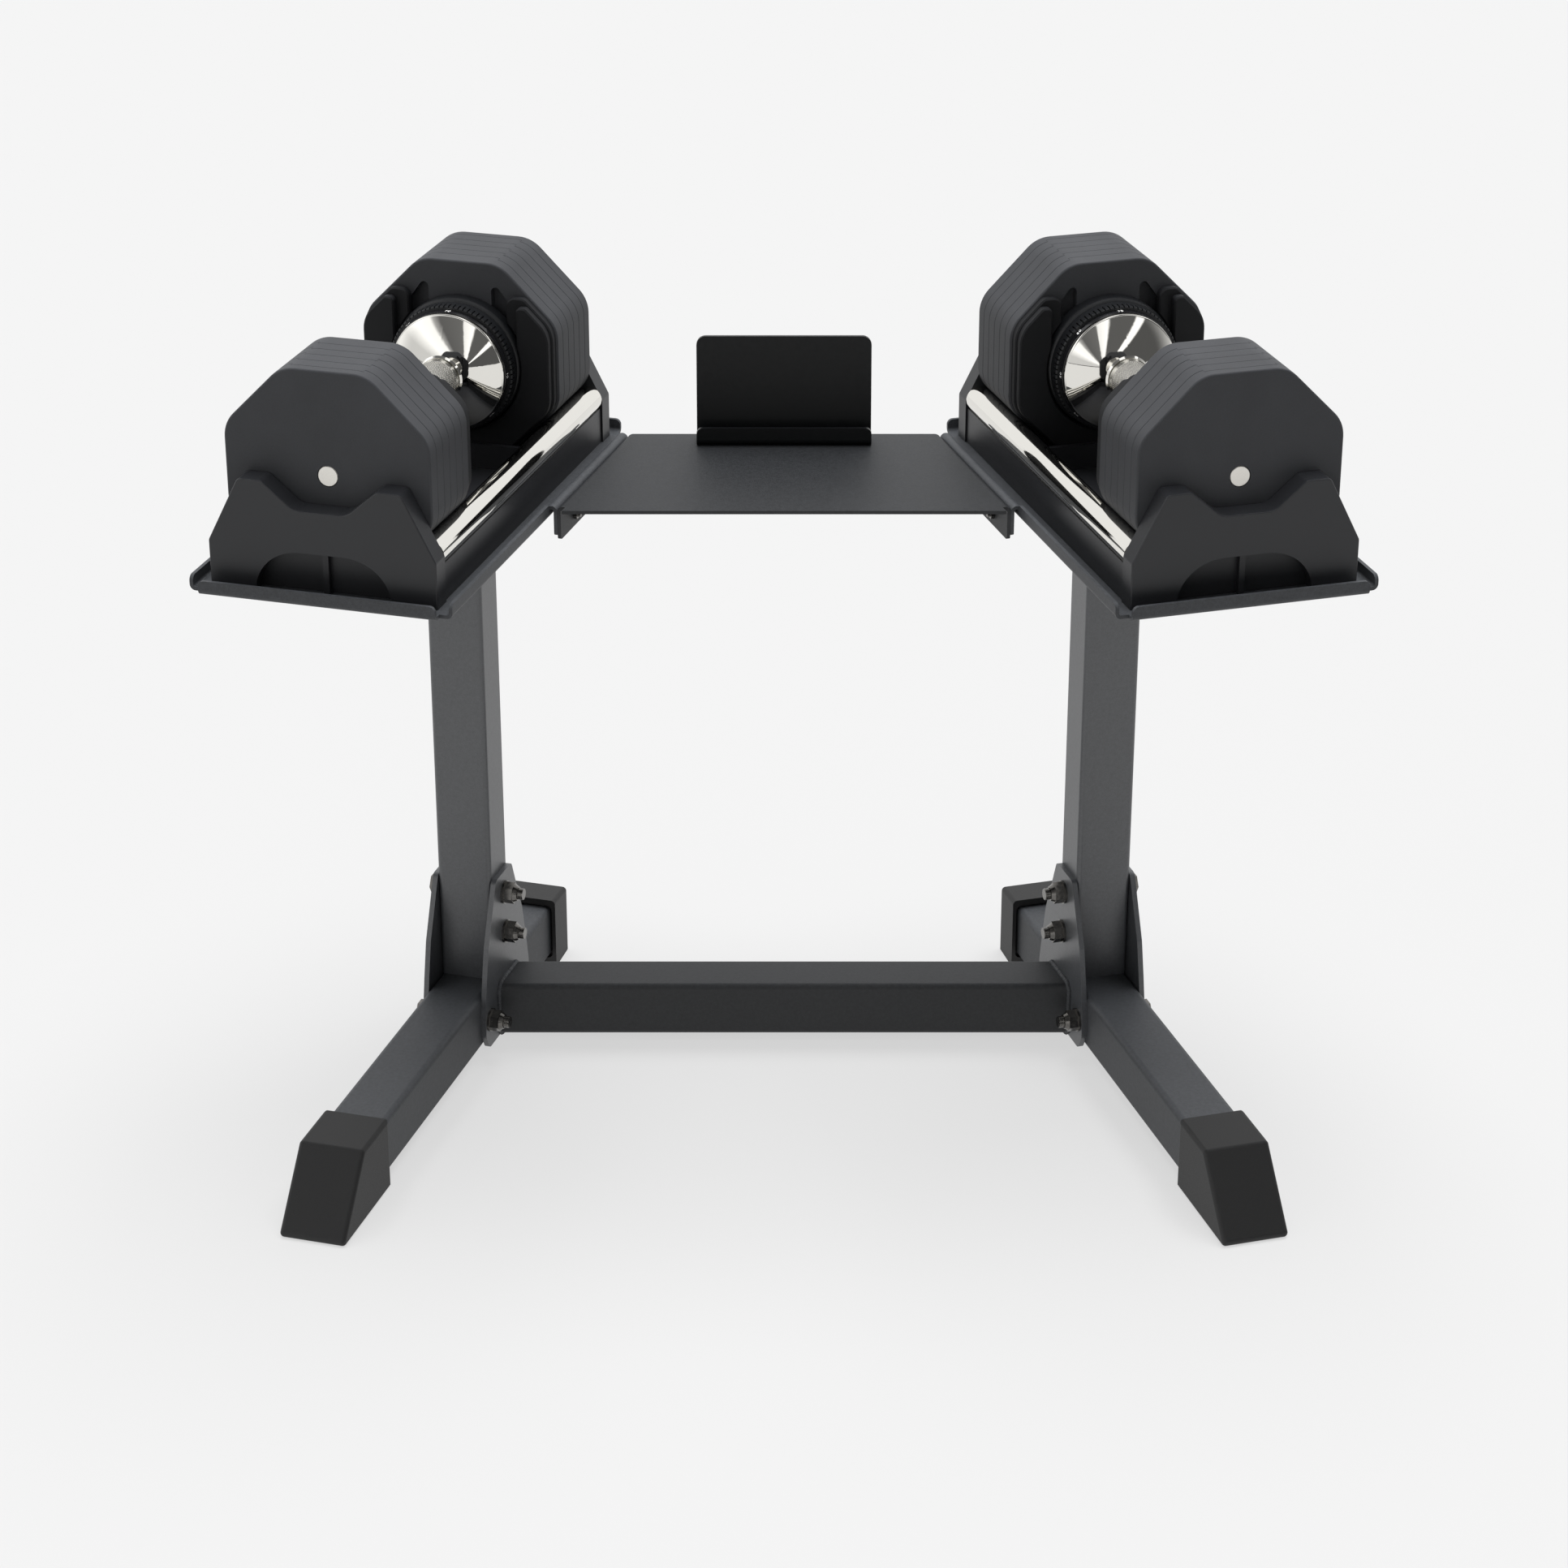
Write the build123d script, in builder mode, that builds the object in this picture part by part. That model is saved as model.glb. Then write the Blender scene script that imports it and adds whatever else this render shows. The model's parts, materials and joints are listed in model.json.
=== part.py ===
from build123d import *

import os
from math import cos, radians, sin

# Two adjustable dumbbells in their cradles on a floor stand, millimetres, +Z up.
# The floor is z = 0, the mid plane is x = 0 and the front is towards -Y.
# Each half of the stand has its own frame, turned about the vertical: u runs inwards from the
# upright, v runs to the rear along the leg, and z is the height above the floor.

# --- driving dimensions: stand ---
SPLAY = 16.25              # degrees that each leg's front end is turned outwards
POST_X = 278.0             # upright's centre to the mid plane
POST_Y = 108.0             # upright's centre behind the middle of the whole outline
TUBE = 50.0                # width of the leg and the upright, height of the crossbar
TUBE_WALL = 2.0
TUBE_CORNER = 5.0
POST_DEPTH = 42.0          # upright, along v
POST_CORNER = 4.0
LEG_FRONT = -335.0         # leg tube's ends, inside the foot caps
LEG_REAR = 156.0
LEG_BOTTOM = 10.0
LEG_TOP = LEG_BOTTOM + TUBE
BAR_BOTTOM = 7.0
BAR_DEPTH = 50.0
BAR_OFFSET = -6.5          # crossbar's centre line from the uprights, along Y

CAP_FRONT = -396.0         # front foot cap, along v
CAP_CREASE = -341.0
CAP_MOUTH = -287.0
CAP_WIDTH = 58.0
CAP_TOP = 64.0
CAP_ROUND = 4.0
CAP_GAP = 0.1              # cap to tube
CAP_EDGE = 3.5
REAR_CAP_MOUTH = 128.0
REAR_CAP_END = 166.0
REAR_CAP_MOUTH_SIZE = (61.0, 68.0)     # width and height
REAR_CAP_END_SIZE = (58.0, 65.0)
REAR_CAP_EDGE = 2.5
REAR_CAP_RECESS = (54.0, 6.0)          # width round the tube, and depth

GUSSET_T = 4.6
GUSSET_HALF = [(0, 159), (20, 159), (31, 133), (44, 103), (51.6, 70), (56.5, 45), (56.5, 20),
               (49, 6.5), (0, 6.5)]    # half outline: v, z
GUSSET_CORNER = 6.0
BOLT_SPOTS = [(0, 139), (0, 100), (-45, 33), (45, 33)]
BOLT_R = 5.0
BOLT_HOLE_R = 5.25
HEAD_AF = 17.0             # across flats of heads and nuts
HEAD_T = 6.4
NUT_HEX_T = 8.0
NUT_DOME_T = 3.5           # nylon ring's collar
NUT_DOME_R = 8.0
NUT_DOME_TAPER = 25.0
NUT_TURN = 15.0            # degrees, so that a corner is not straight up
WASHER_R = 10.5
WASHER_T = 2.0
THREAD_STUB = 5.0          # thread standing out of a nut
THREAD_GAP = 0.02

# --- driving dimensions: trays, shelf and device holder ---
SHEET = 3.0
BEND = 3.5                 # bend radius at the middle of the sheet
TRAY_BOTTOM = 531.6
TRAY_TOP = TRAY_BOTTOM + SHEET
LIP_TOP = 544.0
TRAY_HALF = 110.6
TRAY_SIDE_FRONT = -304.0   # front end of the side lips
TRAY_LIP_FRONT = -313.0    # outer face of the front lip
FRONT_LIP = (-99.5, 99.5)
BACK_LIP = (-100.0, 100.0)
TRAY_SIDE_REAR = 132.0
TRAY_LIP_REAR = 141.0
LIP_GAP = 8.0              # corner relief between two lips
REAR_EDGE = 102.0          # inner edge of the plain stretch behind the flange
FLANGE_FRONT = -79.0       # from here the inner lip is bent over to meet the shelf
FLANGE_REAR = 107.0
FLANGE_OUT = 117.5
FLANGE_TOP = 543.8
FLANGE_BOTTOM = 518.0
FLANGE_BEND = 3.3
FLANGE_CORNER = 2.5
LIP_ROUND = 5.0
PLATE_T = 4.0              # upright's top plate
PLATE_SIZE = (110.0, 90.0)
PLATE_ROUND = 8.0
HOLE_PLAY = 0.3            # round a screw's shank
TRAY_SCREW_PITCH = (84.0, 64.0)
TRAY_SCREW_R = 3.0
TRAY_SCREW_HEAD_R = 6.1
TRAY_SCREW_END = 10.0      # below the top plate
TRAY_NUT = (10.0, 5.0)     # across flats, and thickness
SHELF_FRONT = -118.9       # along Y from the uprights
SHELF_REAR = 68.0
SHELF_GAP = 0.15           # to the tray's flange
SHELF_FLANGE_BOTTOM = 515.0
SHELF_NOTCH = 7.0          # flange's edge strip left off in front of the tray's flange
SHELF_SCREWS = [-45.0, 12.0, 70.0]     # along v
SHELF_SCREW_R = 2.0
SHELF_SCREW_HEAD = (3.3, 2.4)          # radius and height
SHELF_SCREW_END = 6.0      # beyond the flanges
SHELF_NUT = (7.0, 3.2)
SHELF_SCREW_Z = 525.3
HOLDER_HALF = 75.0
HOLDER_T = 4.0
HOLDER_LIP_Y = 38.5        # along Y from the uprights, middle of the sheet
HOLDER_FOOT_Y = 57.0
HOLDER_TOP_Y = 63.0
HOLDER_TOP = 634.5
HOLDER_LIP_TOP = 560.0
HOLDER_ROUND = 8.0
HOLDER_SCREW_X = 50.0
HOLDER_SCREW_R = 3.0
HOLDER_SCREW_HEAD = (5.5, 3.0)         # radius and height
HOLDER_SCREW_END = 8.0     # below the shelf
HOLDER_NUT_T = 5.0

# --- driving dimensions: dumbbell ---
MID_V = -86.5              # middle of the dumbbell and of its cradle
AXIS_Z = 628.2
APOTHEM = 86.0             # half of a plate's width across flats
PLATE_CORNER = 28.0
PLATES = 6                 # weight plates on each end
PLATE_PITCH = 13.65
WEIGHT_T = 13.4
STACK_START = 107.6        # first plate's inner face, from the dumbbell's middle
TONGUE_W = 60.0
TONGUE_H = 4.0
TONGUE_GAP = 0.2
PLATE_EDGE = 0.5           # rounding round a plate's faces
STACK_EDGE = 1.8           # the same on the stack's two outer faces
GUIDE_SLOT = [(32, 61.5, 4), (39, 40, 11)]    # end circles: across, up, radius
GUIDE_SLOT_DEPTH = 8.0
ROD_R = 8.5
ROD_LENGTH = 104.0
ROD_BORE_R = 8.8
ROD_EDGE = 0.6
ROD_TRAVEL = PLATES * PLATE_PITCH
STACK_END = STACK_START + ROD_TRAVEL - PLATE_PITCH + WEIGHT_T
TWIST = 270.0              # degrees of handle for the full travel
PIN_R = 2.5
PIN_REACH = 12.6
PIN_AT = 89.0              # follower pin from the middle, rods fully out
KEY_W = 3.6
KEY_SPAN = (95.0, 100.0)
KEY_TIP_R = 6.8
KEYWAY_W = 4.2
KEYWAY_FLOOR_R = 6.3
KEYWAY_END = 183.5
SLEEVE_R = 13.0
SLEEVE_BORE_R = 8.9
SLEEVE_HALF = 94.5
SLOT_W = 6.2
HUB_GAP = 0.05
GRIP_R = 17.5
GRIP_HALF = 53.0
GRIP_BEAD = 0.5            # height of the smooth bead at each end
GRIP_BEAD_SPAN = (49.0, 50.0, 52.0)    # foot, start and end of its top
THROAT_R = 19.5
THROAT_AT = 56.0
RIM_R = 50.0
RIM_AT = 73.0
BELL_BACK = 75.5
BELL_MIDDLE = (62.8, 35.2) # point on the flare: from the middle, radius
BELL_LIP = 1.2
BELL_ROOT = 1.5
NUMBER_R = 51.0
NUMBER_SLOPE = 0.4
NUMBER_EDGE = 0.6
NUMBER_SPAN = (75.6, 80.0)
NUMBER_BORE_R = 30.0
INDEX_R = 54.6
INDEX_SPAN = (80.3, 94.0)
INDEX_BORE_R = 40.0
INDEX_EDGE = 1.0
INDEX_TEETH = 80
INDEX_GAP_W = 1.2
INDEX_GAP_LENGTH = 7.0
INDEX_TOOTH_H = 1.6
COLLAR_R = 57.0
COLLAR_SPAN = (94.0, 107.4)
COLLAR_SHOULDER = 4.5
COLLAR_EDGE = 1.0
SLEEVE_END_GAP = 0.3
WING_SPANS = [(100.1, 107.4), (92.4, 99.8)]
WING_APOTHEMS = [84.2, 82.6]
WING_INNER = [43.5, 54.5]
WING_TOPS = [60.0, 54.0]   # above the axis
WING_CORNER = 26.0
WING_TIP_ROUND = [8.0, 4.0]
WING_HUB_R = 57.6
WING_EDGE = 1.2

# --- driving dimensions: cradle ---
CRADLE_HALF = 209.8        # half length, along v
WALL_T = 19.0
WALL_HALF = [(0, 604.7), (22, 604.7), (48, 627), (68, 627), (95.5, 573), (95.5, TRAY_TOP)]
WALL_ROUNDS = [15, 6, 5, 5]
WALL_EDGE = 1.2
ARCH_HALF = 57.0
ARCH_FLAT = 18.0
ARCH_TOP = 570.0
ARCH_DEPTH = 12.0
ARCH_RIB = (5.0, 5.0)      # width and depth
CRADLE_FLOOR = 540.6
PANEL_OUT = 94.0
PANEL_IN = 73.0
PANEL_TOP = 565.5
RIDGE_AT = 84.0            # low walls under the hubs, from the dumbbell's middle
RIDGE_T = 5.0
RIDGE_TOP = 562.0
RAIL_R = 12.0
RAIL_BORE_R = 10.0
RAIL_U = 83.2
RAIL_GAP = 0.3             # rail to plate
RAIL_SEAT_GAP = 0.05
CRADLE_SCREWS = [-250.0, 75.0]         # along v, under the side panels
CRADLE_SCREW_R = 3.0
CRADLE_SCREW_HEAD = (5.5, 4.0)         # radius and height
CRADLE_SCREW_DEPTH = 16.0
CRADLE_SCREW_GAP = 0.02

turn = radians(SPLAY)
LEFT = Plane(origin=(-POST_X, POST_Y, 0), x_dir=(cos(turn), -sin(turn), 0), z_dir=(0, 0, 1))
RIGHT = Plane(origin=(POST_X, POST_Y, 0), x_dir=(cos(turn), sin(turn), 0), z_dir=(0, 0, 1))
TO_RIGHT = RIGHT.location * LEFT.location.inverse()


def level(z):
    """Horizontal plane of the left half: sketch x is u, sketch y is v."""
    return LEFT.offset(z)


def across(v):
    """Upright plane across the left leg, facing the front: sketch x is u, sketch y is z."""
    return Plane(LEFT.from_local_coords((0, v, 0)), x_dir=LEFT.x_dir, z_dir=-LEFT.y_dir)


def along(u):
    """Upright plane along the left leg, facing inwards: sketch x is v, sketch y is z."""
    return Plane(LEFT.from_local_coords((u, 0, 0)), x_dir=LEFT.y_dir, z_dir=LEFT.x_dir)


def disc_plane(distance):
    """Plane across the dumbbell, facing the rear: sketch y is the height over its axis."""
    centre = LEFT.from_local_coords((0, MID_V + distance, AXIS_Z))
    return Plane(centre, x_dir=-LEFT.x_dir, z_dir=LEFT.y_dir)


# The dumbbell's meridian: sketch x is the distance from its middle, sketch y is the radius.
MERIDIAN = Plane(LEFT.from_local_coords((0, MID_V, AXIS_Z)), x_dir=LEFT.y_dir, z_dir=LEFT.x_dir)
AXLE = Axis(MERIDIAN.origin, LEFT.y_dir)
MIDDLE = across(MID_V)


def save(piece, node):
    piece.part.label = node
    export_step(piece.part, f"parts/{node}.step")


def save_mirrored(piece, node):
    """Write a left-hand piece of the stand, and its mirror image on the right."""
    save(piece, f"left_{node}")
    with BuildPart() as twin:
        mirror(piece.part, about=Plane.YZ)
    save(twin, f"right_{node}")


def save_moved(piece, node):
    """Write a piece of the left dumbbell, and the same piece in the right cradle."""
    save(piece, f"left_{node}")
    with BuildPart() as twin:
        with Locations(TO_RIGHT):
            add(piece.part)
    save(twin, f"right_{node}")


def square_tube(width, height, corner):
    """Section of a rounded square tube, about the current location."""
    RectangleRounded(width, height, corner)
    RectangleRounded(width - 2 * TUBE_WALL, height - 2 * TUBE_WALL, corner - TUBE_WALL,
                     mode=Mode.SUBTRACT)


os.makedirs("parts", exist_ok=True)

# ============================== frame of the stand ==============================

with BuildPart() as leg:
    with BuildSketch(across(LEG_FRONT)):
        with Locations((0, LEG_BOTTOM + TUBE / 2)):
            square_tube(TUBE, TUBE, TUBE_CORNER)
    extrude(amount=LEG_FRONT - LEG_REAR)
    with BuildSketch(along(-TUBE / 2)):
        with Locations(BOLT_SPOTS[2:]):
            Circle(BOLT_HOLE_R)
    extrude(amount=TUBE, mode=Mode.SUBTRACT)
save_mirrored(leg, "leg")

with BuildPart() as upright:
    with BuildSketch(level(LEG_TOP)):
        square_tube(TUBE, POST_DEPTH, POST_CORNER)
    extrude(amount=TRAY_BOTTOM - PLATE_T - LEG_TOP)
    with BuildSketch(along(-TUBE / 2)):
        with Locations(BOLT_SPOTS[:2]):
            Circle(BOLT_HOLE_R)
    extrude(amount=TUBE, mode=Mode.SUBTRACT)
save_mirrored(upright, "upright")

with BuildPart() as top_plate:
    with BuildSketch(level(TRAY_BOTTOM - PLATE_T)):
        RectangleRounded(*PLATE_SIZE, PLATE_ROUND)
        with GridLocations(*TRAY_SCREW_PITCH, 2, 2):
            Circle(TRAY_SCREW_R + HOLE_PLAY, mode=Mode.SUBTRACT)
    extrude(amount=PLATE_T)
save_mirrored(top_plate, "upright_top_plate")

for gusset_name, start in (("inner_gusset", TUBE / 2), ("outer_gusset", -TUBE / 2 - GUSSET_T)):
    with BuildPart() as gusset:
        with BuildSketch(along(start)) as outline:
            with BuildLine():
                Polyline(*GUSSET_HALF)
                mirror(about=Plane.YZ)
            make_face()
            fillet(outline.vertices(), GUSSET_CORNER)
            with Locations(BOLT_SPOTS):
                Circle(BOLT_HOLE_R, mode=Mode.SUBTRACT)
        extrude(amount=GUSSET_T)
    save_mirrored(gusset, gusset_name)

# The crossbar butts against both inner gussets, so its ends are cut at their angle.
bar_end = along(TUBE / 2 + GUSSET_T)
with BuildPart() as crossbar:
    with BuildSketch(Plane.YZ):
        with Locations((POST_Y + BAR_OFFSET, BAR_BOTTOM + TUBE / 2)):
            square_tube(BAR_DEPTH, TUBE, TUBE_CORNER)
    extrude(amount=-POST_X)
    split(bisect_by=bar_end, keep=Keep.TOP)
    mirror(about=Plane.YZ)
save(crossbar, "crossbar")

with BuildPart() as front_cap:
    with BuildSketch(along(-CAP_WIDTH / 2)) as cap_side:
        Polygon((CAP_MOUTH, 0), (CAP_MOUTH, CAP_TOP), (CAP_CREASE, CAP_TOP), (CAP_FRONT, 0),
                align=None)
        fillet(cap_side.vertices().sort_by(Axis.X)[:2], CAP_ROUND)
    extrude(amount=CAP_WIDTH)
    sides = front_cap.faces().filter_by(Axis((0, 0, 0), LEFT.x_dir))
    fillet(sides.edges(), CAP_EDGE)
    with BuildSketch(across(CAP_MOUTH)):
        with Locations((0, LEG_BOTTOM + TUBE / 2)):
            RectangleRounded(TUBE + 2 * CAP_GAP, TUBE + 2 * CAP_GAP, TUBE_CORNER)
    extrude(amount=CAP_MOUTH - LEG_FRONT + CAP_GAP, mode=Mode.SUBTRACT)
save_mirrored(front_cap, "front_foot_cap")

with BuildPart() as rear_cap:
    for v, (width, height) in ((REAR_CAP_MOUTH, REAR_CAP_MOUTH_SIZE),
                               (REAR_CAP_END, REAR_CAP_END_SIZE)):
        with BuildSketch(across(v)):
            with Locations((0, (height - CAP_ROUND) / 2)):
                RectangleRounded(width, height + CAP_ROUND, CAP_ROUND)
    loft()
    split(bisect_by=Plane.XY, keep=Keep.TOP)
    rear_rim = rear_cap.faces().sort_by(Axis((0, 0, 0), LEFT.y_dir))[-1].edges()
    fillet(rear_rim.filter_by(lambda edge: edge.center().Z > 1), REAR_CAP_EDGE)
    for size, depth in ((TUBE + 2 * CAP_GAP, LEG_REAR - REAR_CAP_MOUTH + CAP_GAP),
                        REAR_CAP_RECESS):
        with BuildSketch(across(REAR_CAP_MOUTH)):
            with Locations((0, LEG_BOTTOM + TUBE / 2)):
                RectangleRounded(size, size, TUBE_CORNER)
        extrude(amount=-depth, mode=Mode.SUBTRACT)
save_mirrored(rear_cap, "rear_foot_cap")

# ============================== fasteners of the frame ==============================

gusset_face = TUBE / 2 + GUSSET_T
nut_t = NUT_HEX_T + NUT_DOME_T

with BuildPart() as frame_bolts:
    with BuildSketch(along(-gusset_face - WASHER_T - HEAD_T)):
        with Locations(BOLT_SPOTS):
            RegularPolygon(HEAD_AF / 2, 6, major_radius=False)
    extrude(amount=HEAD_T)
    with BuildSketch(along(-gusset_face - WASHER_T)):
        with Locations(BOLT_SPOTS):
            Circle(BOLT_R)
    extrude(amount=2 * (gusset_face + WASHER_T) + nut_t + THREAD_STUB)
    mirror(about=Plane.YZ)
save(frame_bolts, "frame_bolts")

with BuildPart() as frame_nuts:
    with BuildSketch(along(gusset_face + WASHER_T)):
        with Locations(BOLT_SPOTS):
            RegularPolygon(HEAD_AF / 2, 6, major_radius=False, rotation=NUT_TURN)
    extrude(amount=NUT_HEX_T)
    with BuildSketch(along(gusset_face + WASHER_T + NUT_HEX_T)):
        with Locations(BOLT_SPOTS):
            Circle(NUT_DOME_R)
    extrude(amount=NUT_DOME_T, taper=NUT_DOME_TAPER)
    with BuildSketch(along(gusset_face + WASHER_T)):
        with Locations(BOLT_SPOTS):
            Circle(BOLT_R + THREAD_GAP)
    extrude(amount=nut_t, mode=Mode.SUBTRACT)
    mirror(about=Plane.YZ)
save(frame_nuts, "frame_lock_nuts")

with BuildPart() as frame_washers:
    for start in (gusset_face, -gusset_face - WASHER_T):
        with BuildSketch(along(start)):
            with Locations(BOLT_SPOTS):
                Circle(WASHER_R)
                Circle(BOLT_HOLE_R, mode=Mode.SUBTRACT)
        extrude(amount=WASHER_T)
    mirror(about=Plane.YZ)
save(frame_washers, "frame_washers")

# ============================== trays, shelf, device holder ==============================

floor_mid = TRAY_BOTTOM + SHEET / 2
side_mid = TRAY_HALF - SHEET / 2
flange_mid = FLANGE_OUT - SHEET / 2
flange_top = FLANGE_TOP - SHEET / 2

# The tray's section changes along its length: its inner edge is a lip, then a lip bent over
# into a flange, and then plain. Each stretch is (front end, rear end, points of the section, bend radii).
outer_side = [(-side_mid, LIP_TOP), (-side_mid, floor_mid)]
tray_stretches = [
    (TRAY_SIDE_FRONT, FLANGE_FRONT, [(side_mid, floor_mid), (side_mid, LIP_TOP)], [BEND, BEND]),
    (FLANGE_FRONT, FLANGE_REAR, [(side_mid, floor_mid), (side_mid, flange_top),
                                 (flange_mid, flange_top), (flange_mid, FLANGE_BOTTOM)],
     [BEND, BEND, FLANGE_BEND, FLANGE_BEND]),
    (FLANGE_REAR, TRAY_SIDE_REAR, [(REAR_EDGE, floor_mid)], [BEND]),
]
screw_spots = [(v, SHELF_SCREW_Z) for v in SHELF_SCREWS]
with BuildPart() as tray:
    for front, rear, inner_side, bends in tray_stretches:
        with BuildSketch(across(front)):
            with BuildLine():
                FilletPolyline(*outer_side, *inner_side, radius=bends)
            trace(line_width=SHEET)
        extrude(amount=front - rear)
    for (start, end), inner, lip in (
            (FRONT_LIP, TRAY_SIDE_FRONT + LIP_GAP, TRAY_LIP_FRONT + SHEET / 2),
            (BACK_LIP, TRAY_SIDE_REAR - LIP_GAP, TRAY_LIP_REAR - SHEET / 2)):
        with BuildSketch(along(start)):
            with BuildLine():
                FilletPolyline((inner, floor_mid), (lip, floor_mid), (lip, LIP_TOP), radius=BEND)
            trace(line_width=SHEET)
        extrude(amount=end - start)
    short = tray.edges().filter_by(lambda edge: edge.length < 2 * SHEET).group_by(Axis.Z)
    fillet(short[0], FLANGE_CORNER)
    fillet([edge for edge in short[-1]
            if abs(LEFT.to_local_coords(edge.center()).Y - FLANGE_FRONT) > SHEET], LIP_ROUND)
    with Locations(level(TRAY_TOP)):
        with GridLocations(*TRAY_SCREW_PITCH, 2, 2):
            CounterSinkHole(TRAY_SCREW_R + HOLE_PLAY, TRAY_SCREW_HEAD_R + HOLE_PLAY / 2,
                            2 * SHEET, counter_sink_angle=90)
    with BuildSketch(level(TRAY_BOTTOM)):
        for v in CRADLE_SCREWS:
            with Locations((-RAIL_U, v), (RAIL_U, v)):
                Circle(CRADLE_SCREW_R + HOLE_PLAY)
    extrude(amount=SHEET, mode=Mode.SUBTRACT)
    with BuildSketch(along(FLANGE_OUT - SHEET)):
        with Locations(screw_spots):
            Circle(SHELF_SCREW_R + HOLE_PLAY)
    extrude(amount=SHEET, mode=Mode.SUBTRACT)
save_mirrored(tray, "tray")

shelf_edge = FLANGE_OUT + SHELF_GAP
shelf_mid = LIP_TOP - SHEET / 2
holder_screw_y = POST_Y + (HOLDER_LIP_Y + HOLDER_FOOT_Y) / 2
holder_screw_spots = [(-HOLDER_SCREW_X, holder_screw_y), (HOLDER_SCREW_X, holder_screw_y)]
# The shelf's section runs along v from well before the shelf to well behind it, and is cut off
# square to the mid plane.
with BuildPart() as shelf:
    with BuildSketch(across(SHELF_FRONT - TUBE)):
        with BuildLine():
            FilletPolyline((POST_X + 2 * TUBE, shelf_mid), (shelf_edge + SHEET / 2, shelf_mid),
                           (shelf_edge + SHEET / 2, SHELF_FLANGE_BOTTOM), radius=BEND)
        trace(line_width=SHEET)
    extrude(amount=-(SHELF_REAR - SHELF_FRONT + 4 * TUBE))
    with BuildSketch(along(shelf_edge)):
        with Locations(screw_spots):
            Circle(SHELF_SCREW_R + HOLE_PLAY)
    extrude(amount=SHEET, mode=Mode.SUBTRACT)
    split(bisect_by=Plane.XZ.offset(-POST_Y - SHELF_FRONT), keep=Keep.BOTTOM)
    split(bisect_by=Plane.XZ.offset(-POST_Y - SHELF_REAR), keep=Keep.TOP)
    split(bisect_by=Plane.YZ, keep=Keep.BOTTOM)
    with BuildSketch(across(FLANGE_FRONT)):
        with Locations((shelf_edge, SHELF_FLANGE_BOTTOM)):
            Rectangle(2 * SHELF_NOTCH, TUBE, align=(Align.CENTER, Align.MIN))
    extrude(amount=TUBE, mode=Mode.SUBTRACT)
    flange_ends = shelf.edges().group_by(Axis.Z)[0]
    fillet(flange_ends.filter_by(lambda edge: edge.length < 2 * SHEET), FLANGE_CORNER)
    mirror(about=Plane.YZ)
    with BuildSketch(Plane.XY.offset(LIP_TOP - SHEET)):
        with Locations(holder_screw_spots):
            Circle(HOLDER_SCREW_R + HOLE_PLAY)
    extrude(amount=SHEET, mode=Mode.SUBTRACT)
save(shelf, "shelf")

holder_foot = LIP_TOP + HOLDER_T / 2
with BuildPart() as holder:
    with BuildSketch(Plane.YZ.offset(-HOLDER_HALF)):
        with BuildLine():
            FilletPolyline((POST_Y + HOLDER_LIP_Y, HOLDER_LIP_TOP),
                           (POST_Y + HOLDER_LIP_Y, holder_foot),
                           (POST_Y + HOLDER_FOOT_Y, holder_foot),
                           (POST_Y + HOLDER_TOP_Y, HOLDER_TOP), radius=BEND)
        trace(line_width=HOLDER_T)
    extrude(amount=2 * HOLDER_HALF)
    ends = holder.edges().filter_by(lambda edge: edge.length < HOLDER_T + 0.1 and
                                    edge.center().Z > HOLDER_LIP_TOP - 1)
    fillet(ends.sort_by(Axis.Z)[-2:], HOLDER_ROUND)
    fillet(ends.sort_by(Axis.Z)[:2], LIP_ROUND)
    with BuildSketch(Plane.XY.offset(LIP_TOP)):
        with Locations(holder_screw_spots):
            Circle(HOLDER_SCREW_R + HOLE_PLAY)
    extrude(amount=HOLDER_T, mode=Mode.SUBTRACT)
save(holder, "device_holder")

holder_head_r, holder_head_t = HOLDER_SCREW_HEAD
shelf_bottom = LIP_TOP - SHEET
holder_top = LIP_TOP + HOLDER_T
with BuildPart() as holder_screws:
    for radius, bottom, top in ((HOLDER_SCREW_R, shelf_bottom - HOLDER_SCREW_END, holder_top),
                                (holder_head_r, holder_top, holder_top + holder_head_t),
                                (holder_head_r, shelf_bottom - HOLDER_NUT_T, shelf_bottom)):
        with BuildSketch(Plane.XY.offset(bottom)):
            with Locations(holder_screw_spots):
                Circle(radius)
        extrude(amount=top - bottom)
save(holder_screws, "holder_screws")

shelf_head_r, shelf_head_t = SHELF_SCREW_HEAD
with BuildPart() as shelf_screws:
    for radius, start, length in (
            (shelf_head_r, FLANGE_OUT - SHEET - shelf_head_t, shelf_head_t),
            (SHELF_SCREW_R, FLANGE_OUT - SHEET, 2 * SHEET + SHELF_SCREW_END)):
        with BuildSketch(along(start)):
            with Locations(screw_spots):
                Circle(radius)
        extrude(amount=length)
    with BuildSketch(along(shelf_edge + SHEET)):
        with Locations(screw_spots):
            RegularPolygon(SHELF_NUT[0] / 2, 6, major_radius=False)
    extrude(amount=SHELF_NUT[1])
    mirror(about=Plane.YZ)
save(shelf_screws, "shelf_screws")

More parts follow.
